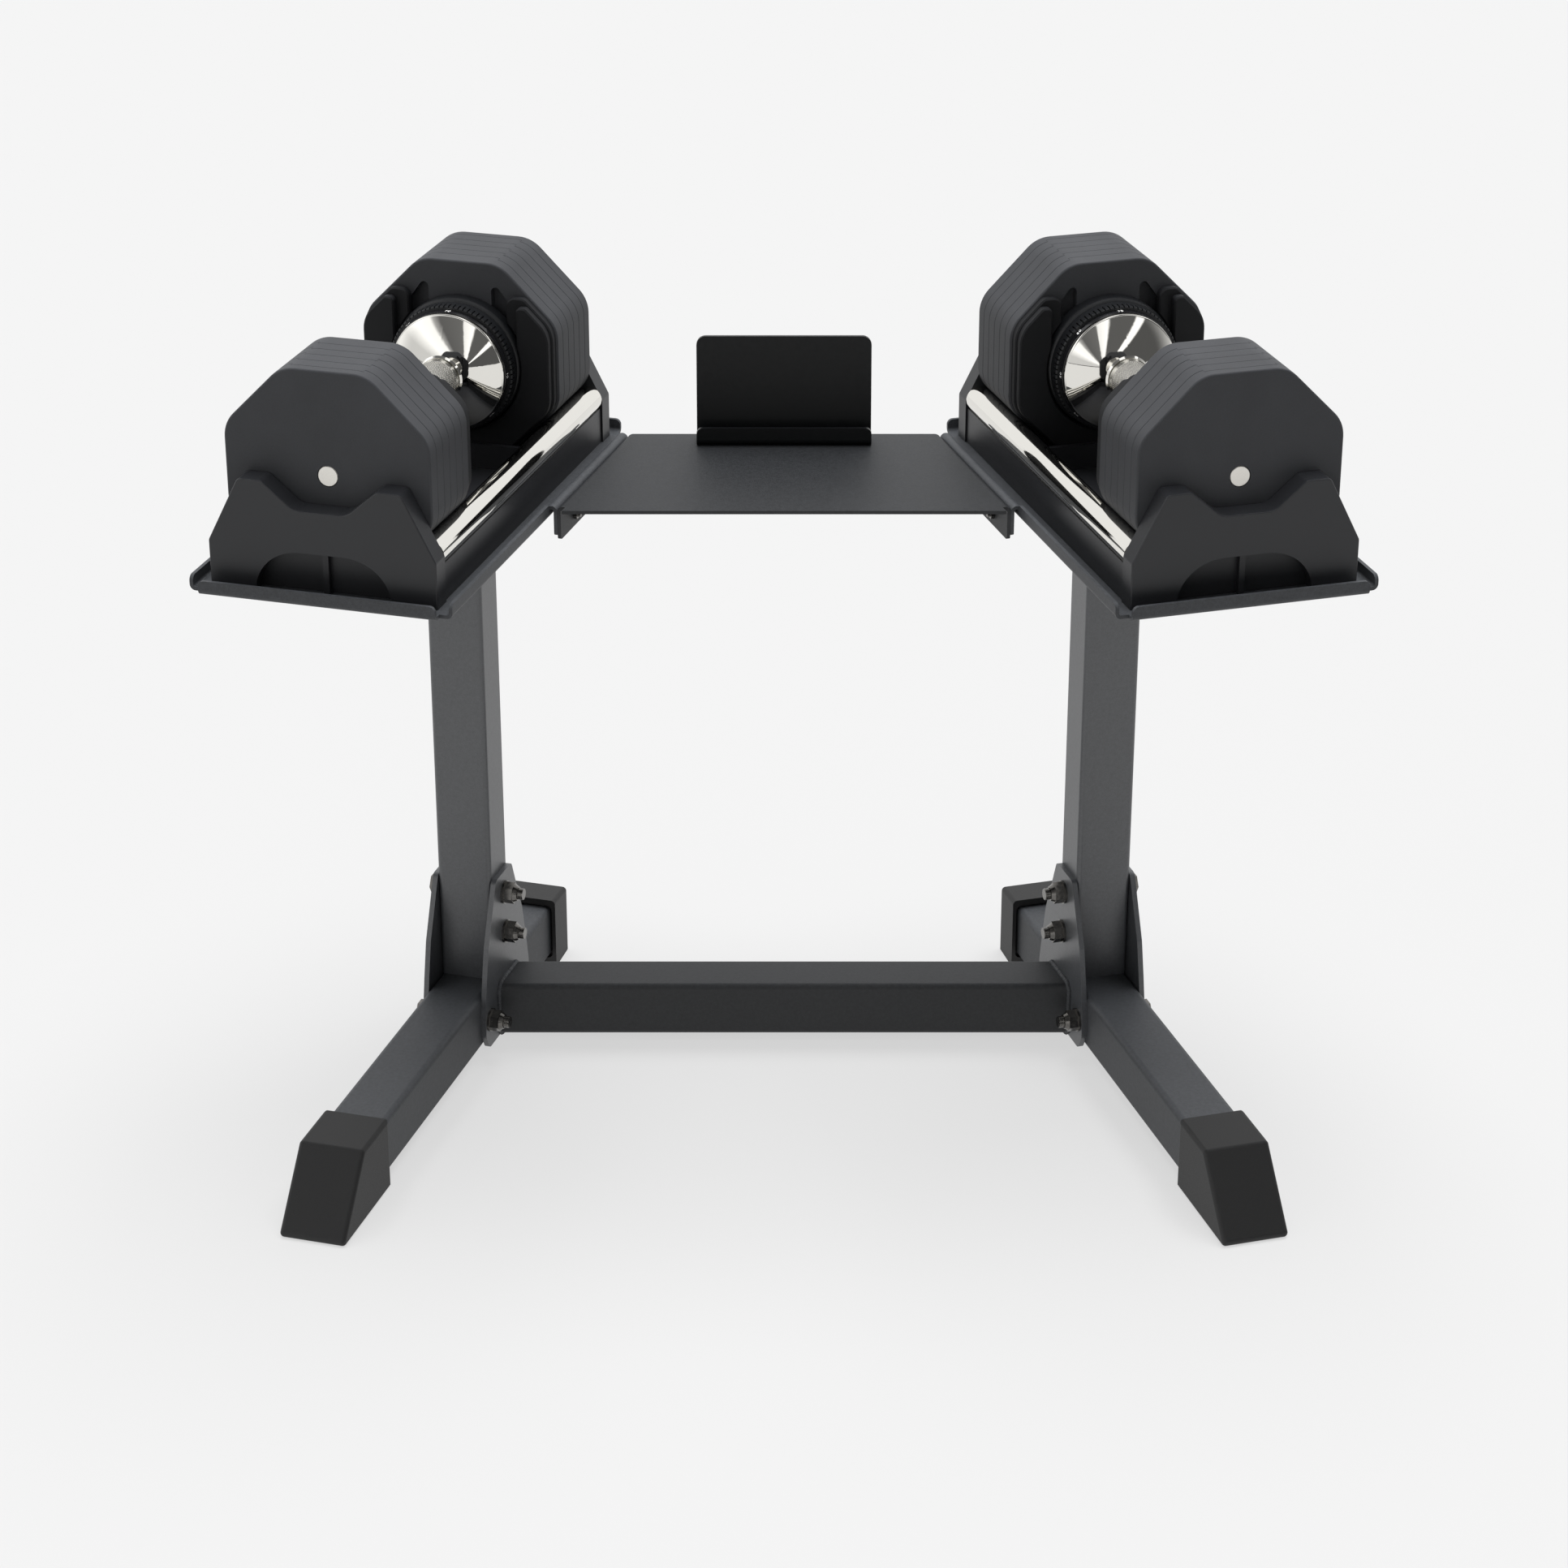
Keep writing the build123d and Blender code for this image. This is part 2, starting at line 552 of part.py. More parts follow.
screw_bottom = TRAY_BOTTOM - PLATE_T
with BuildPart() as tray_screws:
    with BuildSketch(level(TRAY_TOP)):
        with GridLocations(*TRAY_SCREW_PITCH, 2, 2):
            Circle(TRAY_SCREW_HEAD_R)
    extrude(amount=-(TRAY_SCREW_HEAD_R - TRAY_SCREW_R), taper=45)
    with BuildSketch(level(screw_bottom - TRAY_SCREW_END)):
        with GridLocations(*TRAY_SCREW_PITCH, 2, 2):
            Circle(TRAY_SCREW_R)
    extrude(amount=TRAY_SCREW_END + PLATE_T)
    with BuildSketch(level(screw_bottom - TRAY_NUT[1])):
        with GridLocations(*TRAY_SCREW_PITCH, 2, 2):
            RegularPolygon(TRAY_NUT[0] / 2, 6, major_radius=False)
    extrude(amount=TRAY_NUT[1])
    mirror(about=Plane.YZ)
save(tray_screws, "tray_screws")

# ============================== cradles and rails ==============================

# The rail stays a small gap away from the plates' lower chamfered faces.
RAIL_Z = AXIS_Z - (APOTHEM + RAIL_R + RAIL_GAP) * 2 ** 0.5 + RAIL_U
wall_front = MID_V - CRADLE_HALF
wall_inner = wall_front + WALL_T
with BuildPart() as cradle:
    with BuildSketch(across(wall_inner)):
        with BuildLine():
            FilletPolyline(*WALL_HALF, radius=WALL_ROUNDS)
            Line(WALL_HALF[-1], (0, TRAY_TOP))
            mirror(about=Plane.YZ)
        make_face()
    extrude(amount=WALL_T)
    front_rim = cradle.faces().sort_by(Axis((0, 0, 0), LEFT.y_dir))[0].edges()
    fillet(front_rim.filter_by(lambda edge: edge.center().Z > TRAY_TOP + WALL_EDGE), WALL_EDGE)
    with BuildSketch(across(wall_front)):
        with BuildLine():
            Line((0, TRAY_TOP), (ARCH_HALF, TRAY_TOP))
            EllipticalCenterArc((ARCH_FLAT, TRAY_TOP), ARCH_HALF - ARCH_FLAT, ARCH_TOP - TRAY_TOP,
                                start_angle=0, arc_size=90)
            Line((ARCH_FLAT, ARCH_TOP), (0, ARCH_TOP))
            mirror(about=Plane.YZ)
        make_face()
    extrude(amount=-ARCH_DEPTH, mode=Mode.SUBTRACT)
    with BuildSketch(across(wall_front + ARCH_DEPTH)):
        with Locations((0, (TRAY_TOP + ARCH_TOP) / 2)):
            Rectangle(ARCH_RIB[0], ARCH_TOP - TRAY_TOP)
    extrude(amount=ARCH_RIB[1])
    with BuildSketch(across(wall_inner)):
        with Locations((0, (TRAY_TOP + CRADLE_FLOOR) / 2)):
            Rectangle(2 * PANEL_OUT, CRADLE_FLOOR - TRAY_TOP)
        panel_mid = ((PANEL_OUT + PANEL_IN) / 2, (TRAY_TOP + PANEL_TOP) / 2)
        with Locations(panel_mid, (-panel_mid[0], panel_mid[1])):
            Rectangle(PANEL_OUT - PANEL_IN, PANEL_TOP - TRAY_TOP)
        with Locations((RAIL_U, RAIL_Z), (-RAIL_U, RAIL_Z)):
            Circle(RAIL_R + RAIL_SEAT_GAP, mode=Mode.SUBTRACT)
    extrude(amount=wall_inner - MID_V)
    with BuildSketch(across(MID_V - RIDGE_AT)):
        with Locations((0, (TRAY_TOP + RIDGE_TOP) / 2)):
            Rectangle(PANEL_IN + PANEL_OUT, RIDGE_TOP - TRAY_TOP)
        with Locations((RAIL_U, RAIL_Z), (-RAIL_U, RAIL_Z)):
            Circle(RAIL_R + RAIL_SEAT_GAP, mode=Mode.SUBTRACT)
    extrude(amount=RIDGE_T)
    mirror(about=MIDDLE)
    with BuildSketch(level(TRAY_TOP)):
        for v in CRADLE_SCREWS:
            with Locations((-RAIL_U, v), (RAIL_U, v)):
                Circle(CRADLE_SCREW_R + CRADLE_SCREW_GAP)
    extrude(amount=CRADLE_SCREW_DEPTH, mode=Mode.SUBTRACT)
save_mirrored(cradle, "cradle")

with BuildPart() as rails:
    with BuildSketch(across(wall_inner)):
        with Locations((RAIL_U, RAIL_Z), (-RAIL_U, RAIL_Z)):
            Circle(RAIL_R)
            Circle(RAIL_BORE_R, mode=Mode.SUBTRACT)
    extrude(amount=2 * (wall_inner - MID_V))
save_mirrored(rails, "cradle_rails")

with BuildPart() as cradle_screws:
    for radius, start, length in (
            (CRADLE_SCREW_R, TRAY_BOTTOM, SHEET + CRADLE_SCREW_DEPTH - CRADLE_SCREW_GAP),
            (CRADLE_SCREW_HEAD[0], TRAY_BOTTOM - CRADLE_SCREW_HEAD[1], CRADLE_SCREW_HEAD[1])):
        with BuildSketch(level(start)):
            for v in CRADLE_SCREWS:
                with Locations((-RAIL_U, v), (RAIL_U, v)):
                    Circle(radius)
        extrude(amount=length)
    mirror(about=Plane.YZ)
save(cradle_screws, "cradle_screws")

# ============================== weight plates ==============================


def octagon(sketch, apothem, corner):
    """Regular octagon with a flat side down and rounded corners."""
    RegularPolygon(apothem, 8, major_radius=False, rotation=22.5)
    fillet(sketch.vertices(), corner)


for number in range(1, PLATES + 1):
    inner = STACK_START + (number - 1) * PLATE_PITCH
    with BuildPart() as weight:
        with BuildSketch(disc_plane(inner)) as face:
            octagon(face, APOTHEM, PLATE_CORNER)
        extrude(amount=WEIGHT_T)
        plate_faces = weight.faces().filter_by(Axis((0, 0, 0), LEFT.y_dir))
        plate_faces = plate_faces.sort_by(Axis((0, 0, 0), LEFT.y_dir))
        for plate_face, outermost in zip(plate_faces, (number == 1, number == PLATES)):
            fillet(plate_face.edges(), STACK_EDGE if outermost else PLATE_EDGE)
        if number < PLATES:
            with BuildSketch(disc_plane(inner + WEIGHT_T - PLATE_EDGE)) as tongue:
                octagon(tongue, APOTHEM, PLATE_CORNER)
                Rectangle(TONGUE_W, 3 * APOTHEM, mode=Mode.INTERSECT)
            extrude(amount=TONGUE_H + PLATE_EDGE)
        if number > 1:
            with BuildSketch(disc_plane(inner)):
                Rectangle(TONGUE_W + 2 * TONGUE_GAP, 3 * APOTHEM)
            extrude(amount=TONGUE_H + TONGUE_GAP, mode=Mode.SUBTRACT)
        else:
            for side in (-1, 1):
                with BuildSketch(disc_plane(inner)):
                    with BuildLine():
                        for across_axis, over_axis, radius in GUIDE_SLOT:
                            CenterArc((side * across_axis, over_axis), radius, 0, 360)
                    make_hull()
                extrude(amount=GUIDE_SLOT_DEPTH, mode=Mode.SUBTRACT)
        with BuildSketch(disc_plane(inner)):
            Circle(ROD_BORE_R)
        extrude(amount=2 * WEIGHT_T, mode=Mode.SUBTRACT)
        mirror(about=MIDDLE)
    save_moved(weight, f"weight_plates_{number}")

with BuildPart() as wings:
    for span, apothem, inner, top, tip in zip(WING_SPANS, WING_APOTHEMS, WING_INNER, WING_TOPS,
                                              WING_TIP_ROUND):
        with BuildSketch(disc_plane(span[0])) as wing:
            octagon(wing, apothem, WING_CORNER)
            with Locations((0, APOTHEM)):
                Rectangle(2 * inner, 2 * APOTHEM, mode=Mode.SUBTRACT)
            with Locations((0, top + APOTHEM)):
                Rectangle(3 * APOTHEM, 2 * APOTHEM, mode=Mode.SUBTRACT)
            Circle(WING_HUB_R, mode=Mode.SUBTRACT)
            fillet(wing.vertices().group_by(Axis.Y)[-1], tip)
        extrude(amount=span[1] - span[0])
        inner_face = wings.faces().sort_by(Axis((0, 0, 0), LEFT.y_dir))[0]
        chamfer(inner_face.outer_wire().edges(), WING_EDGE)
    mirror(about=MIDDLE)
save_moved(wings, "wing_weights")

# ============================== hubs ==============================

index_seat_r = INDEX_BORE_R - HUB_GAP
sleeve_seat_r = SLEEVE_R + HUB_GAP
with BuildPart() as collars:
    with BuildSketch(MERIDIAN) as collar:
        Polygon((COLLAR_SPAN[1], ROD_BORE_R), (COLLAR_SPAN[1], COLLAR_R),
                (COLLAR_SPAN[0], COLLAR_R), (COLLAR_SPAN[0], index_seat_r),
                (INDEX_SPAN[0], index_seat_r), (INDEX_SPAN[0], sleeve_seat_r),
                (SLEEVE_HALF + SLEEVE_END_GAP, sleeve_seat_r),
                (SLEEVE_HALF + SLEEVE_END_GAP, ROD_BORE_R), align=None)
        rim = collar.vertices().group_by(Axis.Y)[-1].sort_by(Axis.X)
        fillet(rim[0], COLLAR_SHOULDER)
        chamfer(rim[1], COLLAR_EDGE)
    revolve(axis=AXLE)
    with BuildSketch(disc_plane(KEY_SPAN[0])):
        with Locations((0, -(KEY_TIP_R + SLEEVE_R) / 2)):
            Rectangle(KEY_W, SLEEVE_R - KEY_TIP_R)
    extrude(amount=KEY_SPAN[1] - KEY_SPAN[0])
    mirror(about=MIDDLE)
save_moved(collars, "hub_collars")

with BuildPart() as index_rings:
    with BuildSketch(disc_plane(INDEX_SPAN[0])):
        Circle(INDEX_R)
        Circle(INDEX_BORE_R, mode=Mode.SUBTRACT)
    extrude(amount=INDEX_SPAN[1] - INDEX_SPAN[0])
    rims = index_rings.edges().filter_by(GeomType.CIRCLE).sort_by(SortBy.RADIUS)[-2:]
    chamfer(rims, INDEX_EDGE)
    with BuildSketch(disc_plane(INDEX_SPAN[0])):
        with PolarLocations(INDEX_R, INDEX_TEETH):
            Rectangle(2 * INDEX_TOOTH_H, INDEX_GAP_W)
    extrude(amount=INDEX_GAP_LENGTH, mode=Mode.SUBTRACT)
    mirror(about=MIDDLE)
save_moved(index_rings, "index_rings")

# ============================== handle ==============================

with BuildPart() as number_rings:
    with BuildSketch(MERIDIAN):
        Polygon((NUMBER_SPAN[0], NUMBER_BORE_R), (NUMBER_SPAN[0], NUMBER_R - NUMBER_SLOPE),
                (NUMBER_SPAN[1] - NUMBER_EDGE, NUMBER_R + NUMBER_SLOPE),
                (NUMBER_SPAN[1], NUMBER_R + NUMBER_SLOPE - NUMBER_EDGE),
                (NUMBER_SPAN[1], NUMBER_BORE_R), align=None)
    revolve(axis=AXLE)
    mirror(about=MIDDLE)
save_moved(number_rings, "number_rings")

bore = SLEEVE_R + THREAD_GAP
seat_at = NUMBER_SPAN[1] - 2 * THREAD_GAP
seat_r = NUMBER_BORE_R - THREAD_GAP
lip_at = RIM_AT - BELL_LIP / 2
with BuildPart() as bells:
    with BuildSketch(MERIDIAN):
        with BuildLine():
            Polyline((THROAT_AT, THROAT_R), (THROAT_AT - BELL_ROOT, THROAT_R - BELL_ROOT),
                     (THROAT_AT - BELL_ROOT, bore), (seat_at, bore), (seat_at, seat_r),
                     (BELL_BACK, seat_r), (BELL_BACK, RIM_R - BELL_LIP))
            ThreePointArc((BELL_BACK, RIM_R - BELL_LIP), (RIM_AT + BELL_LIP, RIM_R),
                          (lip_at, RIM_R - BELL_LIP))
            ThreePointArc((lip_at, RIM_R - BELL_LIP), BELL_MIDDLE, (THROAT_AT, THROAT_R))
        make_face()
    revolve(axis=AXLE)
    mirror(about=MIDDLE)
save_moved(bells, "handle_bells")

bead_foot, bead_start, bead_end = GRIP_BEAD_SPAN
with BuildPart() as grip:
    with BuildSketch(MERIDIAN):
        Polygon((0, bore), (0, GRIP_R), (bead_foot, GRIP_R), (bead_start, GRIP_R + GRIP_BEAD),
                (bead_end, GRIP_R + GRIP_BEAD), (GRIP_HALF, GRIP_R - GRIP_BEAD),
                (GRIP_HALF, bore), align=None)
    revolve(axis=AXLE)
    mirror(about=MIDDLE)
save_moved(grip, "grip")

# Cam sleeve inside the grip, built about Z and then laid on the axle. Each half has a helical slot
# that drives one rod's follower pin: the pin is up and at the slot's outer end at full load.
slot_start = PIN_AT - ROD_TRAVEL
with BuildPart() as half_sleeve:
    with BuildSketch():
        Circle(SLEEVE_R)
        Circle(SLEEVE_BORE_R, mode=Mode.SUBTRACT)
    extrude(amount=SLEEVE_HALF)
    with BuildLine(Plane.XY.offset(slot_start)):
        slot_path = Helix(pitch=ROD_TRAVEL * 360 / TWIST, height=ROD_TRAVEL,
                          radius=(SLEEVE_R + SLEEVE_BORE_R) / 2)
    with BuildSketch(Plane(slot_path @ 0, x_dir=(1, 0, 0), z_dir=slot_path % 0)):
        Rectangle(2 * (SLEEVE_R - SLEEVE_BORE_R), SLOT_W)
    sweep(path=slot_path, is_frenet=True, mode=Mode.SUBTRACT)
    for angle, height in ((0, slot_start), (radians(TWIST), PIN_AT)):
        with BuildSketch(Plane((0, 0, height), z_dir=(cos(angle), sin(angle), 0))):
            Circle(SLOT_W / 2)
        extrude(amount=2 * SLEEVE_R, mode=Mode.SUBTRACT)
with BuildPart() as cam_sleeve:
    with Locations(disc_plane(0).location * Rotation(0, 0, 90 - TWIST)):
        add(half_sleeve.part)
    mirror(about=MIDDLE)
save_moved(cam_sleeve, "cam_sleeve")

# Lock rods: they carry the plates, and a keyway in each stops it turning with the handle.
with BuildPart() as rear_rod:
    with BuildSketch(disc_plane(STACK_END - ROD_LENGTH)):
        Circle(ROD_R)
    extrude(amount=ROD_LENGTH)
    chamfer(rear_rod.faces().sort_by(Axis((0, 0, 0), LEFT.y_dir))[-1].edges(), ROD_EDGE)
    with BuildSketch(disc_plane(KEYWAY_END)):
        with Locations((0, -KEYWAY_FLOOR_R - ROD_R / 2)):
            Rectangle(KEYWAY_W, ROD_R)
    extrude(amount=-KEYWAY_END, mode=Mode.SUBTRACT)
    with BuildSketch(Plane(disc_plane(PIN_AT).origin)):
        Circle(PIN_R)
    extrude(amount=PIN_REACH)
save_moved(rear_rod, "rear_lock_rod")

with BuildPart() as front_rod:
    mirror(rear_rod.part, about=MIDDLE)
save_moved(front_rod, "front_lock_rod")
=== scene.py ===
"""Finishes, fine pieces and studio for two adjustable dumbbells on a floor stand."""

import json
import math

import bmesh
import bpy
from mathutils import Matrix, Vector


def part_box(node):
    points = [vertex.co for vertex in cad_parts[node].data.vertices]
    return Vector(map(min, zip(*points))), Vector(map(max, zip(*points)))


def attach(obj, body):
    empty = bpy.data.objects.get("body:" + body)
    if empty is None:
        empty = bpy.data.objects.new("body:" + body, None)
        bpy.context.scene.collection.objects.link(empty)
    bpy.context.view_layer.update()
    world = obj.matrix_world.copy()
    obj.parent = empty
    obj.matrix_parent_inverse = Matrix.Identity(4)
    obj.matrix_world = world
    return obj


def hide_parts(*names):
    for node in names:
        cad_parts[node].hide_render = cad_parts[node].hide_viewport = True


bl_info = {
    "name": "Dumbbell Stand Finisher",
    "version": (1, 0, 0),
    "blender": (4, 5, 0),
    "location": "3D View > Sidebar > Dumbbells",
    "description": "Paints a stand with two adjustable dumbbells and adds its fine pieces",
    "category": "Object",
}

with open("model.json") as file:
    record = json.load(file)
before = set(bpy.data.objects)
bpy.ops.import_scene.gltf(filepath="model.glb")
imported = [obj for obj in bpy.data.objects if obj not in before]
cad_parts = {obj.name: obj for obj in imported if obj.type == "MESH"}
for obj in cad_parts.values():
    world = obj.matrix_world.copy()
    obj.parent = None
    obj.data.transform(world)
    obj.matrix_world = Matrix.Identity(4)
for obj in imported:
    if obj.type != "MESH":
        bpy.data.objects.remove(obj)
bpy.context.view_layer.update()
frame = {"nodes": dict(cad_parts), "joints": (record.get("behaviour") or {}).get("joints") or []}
NODES = frame["nodes"]
JOINTS = {joint["name"]: joint for joint in frame["joints"]}
SIDES = ("left", "right")
MM = 0.001

# Centres of the frame bolts, along the leg and above the floor.
BOLT_SPOTS = [(0.0, 139 * MM), (0.0, 100 * MM), (-45 * MM, 33 * MM), (45 * MM, 33 * MM)]
BOLT_RADIUS = 5 * MM
RIDGE_SHARE = 0.24         # of a thread's pitch
GRIP_BEAD = 0.5 * MM       # height of the smooth bead at each end of the grip
GRIP_WALL = 4.3 * MM
GRIP_PLAIN = 4.5 * MM      # unknurled end of the grip
GRIP_BEAD_START = 3 * MM   # from the grip's end
GRIP_ROWS = 226            # quads along the knurling
GRIP_STEPS = 360           # quads round it
PEAK_FLAT = 0.42           # of a ridge's full height, where its top is cut flat
FIGURE_INSET = 2.1 * MM    # from the number ring's end to the middle of the figures
FIGURE_CAP = 0.72          # capital height as a share of the font size
FIGURE_RELIEF = 0.06 * MM
FIGURE_SPACING = 1.15
SETTING_ANGLE = math.radians(45)
BEADS = 120                # weld ripples along each stretch
BEAD_SPREAD = (0.92, 1.08)
WELD_CORNER = 5 * MM
WELD_LIFT = 0.4 * MM       # off the gusset's face
FLOOR_HALF = 40.0


# ------------------------------------------------------------------ places


def row_matrix(side, origin):
    """Frame of one half: X across the dumbbell, Y along its axle to the rear, Z up."""
    along = Vector(JOINTS[f"{side}_handle_twist"]["axis"])
    across = along.cross(Vector((0, 0, 1)))
    place = Matrix((across, along, (0, 0, 1))).transposed().to_4x4()
    place.translation = origin
    return place


def axle_matrix(side):
    return row_matrix(side, Vector(JOINTS[f"{side}_handle_twist"]["pos_m"]))


def foot_matrix(side):
    """The same axes at the foot of the upright, on the floor."""
    low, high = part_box(f"{side}_upright")
    return row_matrix(side, Vector(((low.x + high.x) / 2, (low.y + high.y) / 2, 0)))


def inward(side):
    """Sign of the X of row_matrix that points to the middle of the stand."""
    return 1 if side == "left" else -1


def reach(node, matrix):
    """Lowest and highest corner of a CAD node in the axes of a row matrix."""
    back = matrix.inverted()
    spots = [back @ vertex.co for vertex in NODES[node].data.vertices]
    low = Vector(min(spot[i] for spot in spots) for i in range(3))
    high = Vector(max(spot[i] for spot in spots) for i in range(3))
    return low, high


# ------------------------------------------------------------------ node graphs


class Socket:
    """A node's output. Arithmetic on it adds Math nodes to its graph."""

    def __init__(self, graph, link):
        self.graph = graph
        self.link = link

    def calc(self, operation, *values):
        return self.graph.node("ShaderNodeMath", {"operation": operation}, values)

    def __add__(self, other):
        return self.calc("ADD", self, other)

    __radd__ = __add__

    def __sub__(self, other):
        return self.calc("SUBTRACT", self, other)

    def __rsub__(self, other):
        return self.calc("SUBTRACT", other, self)

    def __mul__(self, other):
        return self.calc("MULTIPLY", self, other)

    __rmul__ = __mul__

    def __truediv__(self, other):
        return self.calc("DIVIDE", self, other)

    def __gt__(self, other):
        return self.calc("GREATER_THAN", self, other)

    def __lt__(self, other):
        return self.calc("LESS_THAN", self, other)

    def other(self, name):
        """Another output of the same node."""
        return Socket(self.graph, self.link.node.outputs[name])


class Graph:
    """A node tree that is filled one node at a time."""

    def __init__(self, tree):
        self.tree = tree

    def node(self, kind, settings=None, inputs=(), output=0):
        made = self.tree.nodes.new(kind)
        for name, value in (settings or {}).items():
            if name == "stops":
                self.set_stops(made.color_ramp, value)
            else:
                setattr(made, name, value)
        pairs = inputs.items() if isinstance(inputs, dict) else enumerate(inputs)
        for key, value in pairs:
            if isinstance(value, Socket):
                self.tree.links.new(value.link, made.inputs[key])
            else:
                made.inputs[key].default_value = value
        return Socket(self, made.outputs[output]) if len(made.outputs) else None

    @staticmethod
    def set_stops(ramp, stops):
        while len(ramp.elements) < len(stops):
            ramp.elements.new(1.0)
        for element, (position, grey) in zip(ramp.elements, stops):
            element.position = position
            element.color = (grey, grey, grey, 1)


class Finish(Graph):
    """A material with one Principled shader, whose patterns follow the object's own space."""

    def __init__(self, name):
        self.material = bpy.data.materials.new(name)
        self.material.use_nodes = True
        super().__init__(self.material.node_tree)
        self.tree.nodes.clear()
        self.place = self.node("ShaderNodeTexCoord", output="Object")

    def noise(self, scale, detail=2.0, roughness=0.5):
        return self.node("ShaderNodeTexNoise", {},
                         {"Vector": self.place, "Scale": scale, "Detail": detail,
                          "Roughness": roughness})

    def spread(self, value, low, high, to_low, to_high):
        """A value from low to high, laid out from to_low to to_high."""
        return self.node("ShaderNodeMapRange", {"clamp": True}, {
            "Value": value, "From Min": low, "From Max": high,
            "To Min": to_low, "To Max": to_high})

    def tint(self, amount, first, second):
        """Colour between two, by an amount from 0 to 1."""
        return self.node("ShaderNodeMix", {"data_type": "RGBA"},
                         {0: amount, 6: (*first, 1), 7: (*second, 1)}, output=2)

    def bump(self, height, distance, strength=1.0):
        return self.node("ShaderNodeBump", {}, {"Height": height, "Distance": distance,
                                                "Strength": strength})

    def shade(self, **values):
        """Close the material with these values on the shader's sockets."""
        named = {name.replace("_", " "): value for name, value in values.items()}
        shader = self.node("ShaderNodeBsdfPrincipled", {}, named)
        self.node("ShaderNodeOutputMaterial", {}, {"Surface": shader})
        return self.material


def darker(colour, share):
    return tuple(channel * share for channel in colour)


# ------------------------------------------------------------------ finishes


def powder_coat(look, name="powder_coat", painted_light=1.0, sheen=0.0):
    """Fine textured powder coat: dense small grain, smoother by sheen; the third argument scales
    the whole colour lighter or darker as painted light or painted shade.
    """
    finish = Finish(name)
    grain = finish.noise(look.grain_scale, 3.0, 0.6)
    pebble = finish.noise(look.grain_scale * 0.3, 2.0)
    drift = finish.noise(6.0, 2.0)
    relief = grain * 0.65 + pebble * 0.35
    tone = finish.spread(relief + drift * 0.15, 0.42, 0.72, 0.0, 1.0)
    # painted light and shade: the whole colour is scaled lighter or darker to stand in for how
    # light falls on this part
    colour = finish.tint(tone, darker(look.colour, 0.72 * painted_light), darker(look.colour, 1.35 * painted_light))
    return finish.shade(
        Base_Color=colour, Specular_IOR_Level=0.42 + sheen,
        Roughness=finish.spread(grain, 0.3, 0.7, 0.50 - 0.3 * sheen, 0.62 - 0.3 * sheen),
        Normal=finish.bump(relief, look.grain_height * MM))


def satin_coat(look):
    """Smooth near-black coat of the device holder."""
    finish = Finish("satin_black_coat")
    peel = finish.noise(340.0, 2.0)
    return finish.shade(
        Base_Color=(*look.holder_colour, 1), Roughness=finish.spread(peel, 0.3, 0.7, 0.36, 0.44),
        Specular_IOR_Level=0.28, Normal=finish.bump(peel, 0.03 * MM))


def foot_plastic(look):
    """Moulded foot caps with a spark-eroded surface."""
    finish = Finish("foot_plastic")
    spark = finish.noise(1500.0, 2.0)
    flow = finish.noise(25.0, 2.0)
    colour = finish.tint(flow, darker(look.cap_colour, 0.9), darker(look.cap_colour, 1.1))
    return finish.shade(Base_Color=colour, Roughness=finish.spread(spark, 0.3, 0.7, 0.52, 0.62),
                        Normal=finish.bump(spark, 0.05 * MM))


def black_zinc():
    """Thin black passivation over zinc: it stays bright metal under a dark film."""
    finish = Finish("black_zinc")
    bloom = finish.noise(260.0, 3.0)
    colour = finish.tint(bloom, (0.08, 0.078, 0.076), (0.22, 0.21, 0.195))
    return finish.shade(Base_Color=colour, Metallic=1.0,
                        Roughness=finish.spread(bloom, 0.3, 0.7, 0.14, 0.28),
                        Normal=finish.bump(bloom, 0.03 * MM))


def cradle_plastic(look):
    """Satin moulded shell of the cradles."""
    finish = Finish("cradle_plastic")
    spark = finish.noise(1700.0, 2.0)
    flow = finish.noise(14.0, 2.0)
    colour = finish.tint(flow, darker(look.colour, 0.88), darker(look.colour, 1.12))
    return finish.shade(Base_Color=colour, Roughness=finish.spread(spark, 0.3, 0.7, 0.38, 0.46),
                        Specular_IOR_Level=0.45, Normal=finish.bump(spark, 0.025 * MM))


def weight_coat(look, name="weight_coat", painted_light=1.0):
    """Matte urethane coat on the weights; the third argument scales the colour and specular
    lighter or darker as painted light or painted shade.
    """
    finish = Finish(name)
    grain = finish.noise(1100.0, 3.0, 0.6)
    cloud = finish.noise(18.0, 3.0)
    tone = finish.spread(grain * 0.6 + cloud * 0.4, 0.38, 0.62, 0.0, 1.0)
    # painted shade: a share below 1 darkens the coat's colour to stand in for shadow
    colour = finish.tint(tone, darker(look.colour, 0.85 * painted_light), darker(look.colour, 1.18 * painted_light))
    return finish.shade(Base_Color=colour, Roughness=finish.spread(grain, 0.3, 0.7, 0.56, 0.68),
                        Specular_IOR_Level=0.15 + 0.25 * painted_light,
                        Normal=finish.bump(grain, 0.05 * MM))


def hub_coat():
    """Flat black coat of the hub collars and the index rings."""
    finish = Finish("hub_coat")
    grain = finish.noise(1400.0, 2.0)
    return finish.shade(Base_Color=(0.005, 0.0055, 0.0065, 1),
                        Roughness=finish.spread(grain, 0.3, 0.7, 0.46, 0.56),
                        Normal=finish.bump(grain, 0.03 * MM))


def gloss_black():
    """Polished black band behind the figures."""
    finish = Finish("gloss_black")
    ripple = finish.noise(120.0, 2.0)
    return finish.shade(Base_Color=(0.006, 0.006, 0.007, 1), Coat_Weight=0.6, Coat_Roughness=0.05,
                        Roughness=finish.spread(ripple, 0.3, 0.7, 0.10, 0.16))


def figure_paint():
    """White printing ink."""
    finish = Finish("figure_paint")
    ink = finish.noise(900.0, 2.0)
    colour = finish.tint(ink, (0.78, 0.78, 0.76), (0.88, 0.88, 0.87))
    return finish.shade(Base_Color=colour, Roughness=finish.spread(ink, 0.3, 0.7, 0.38, 0.5))


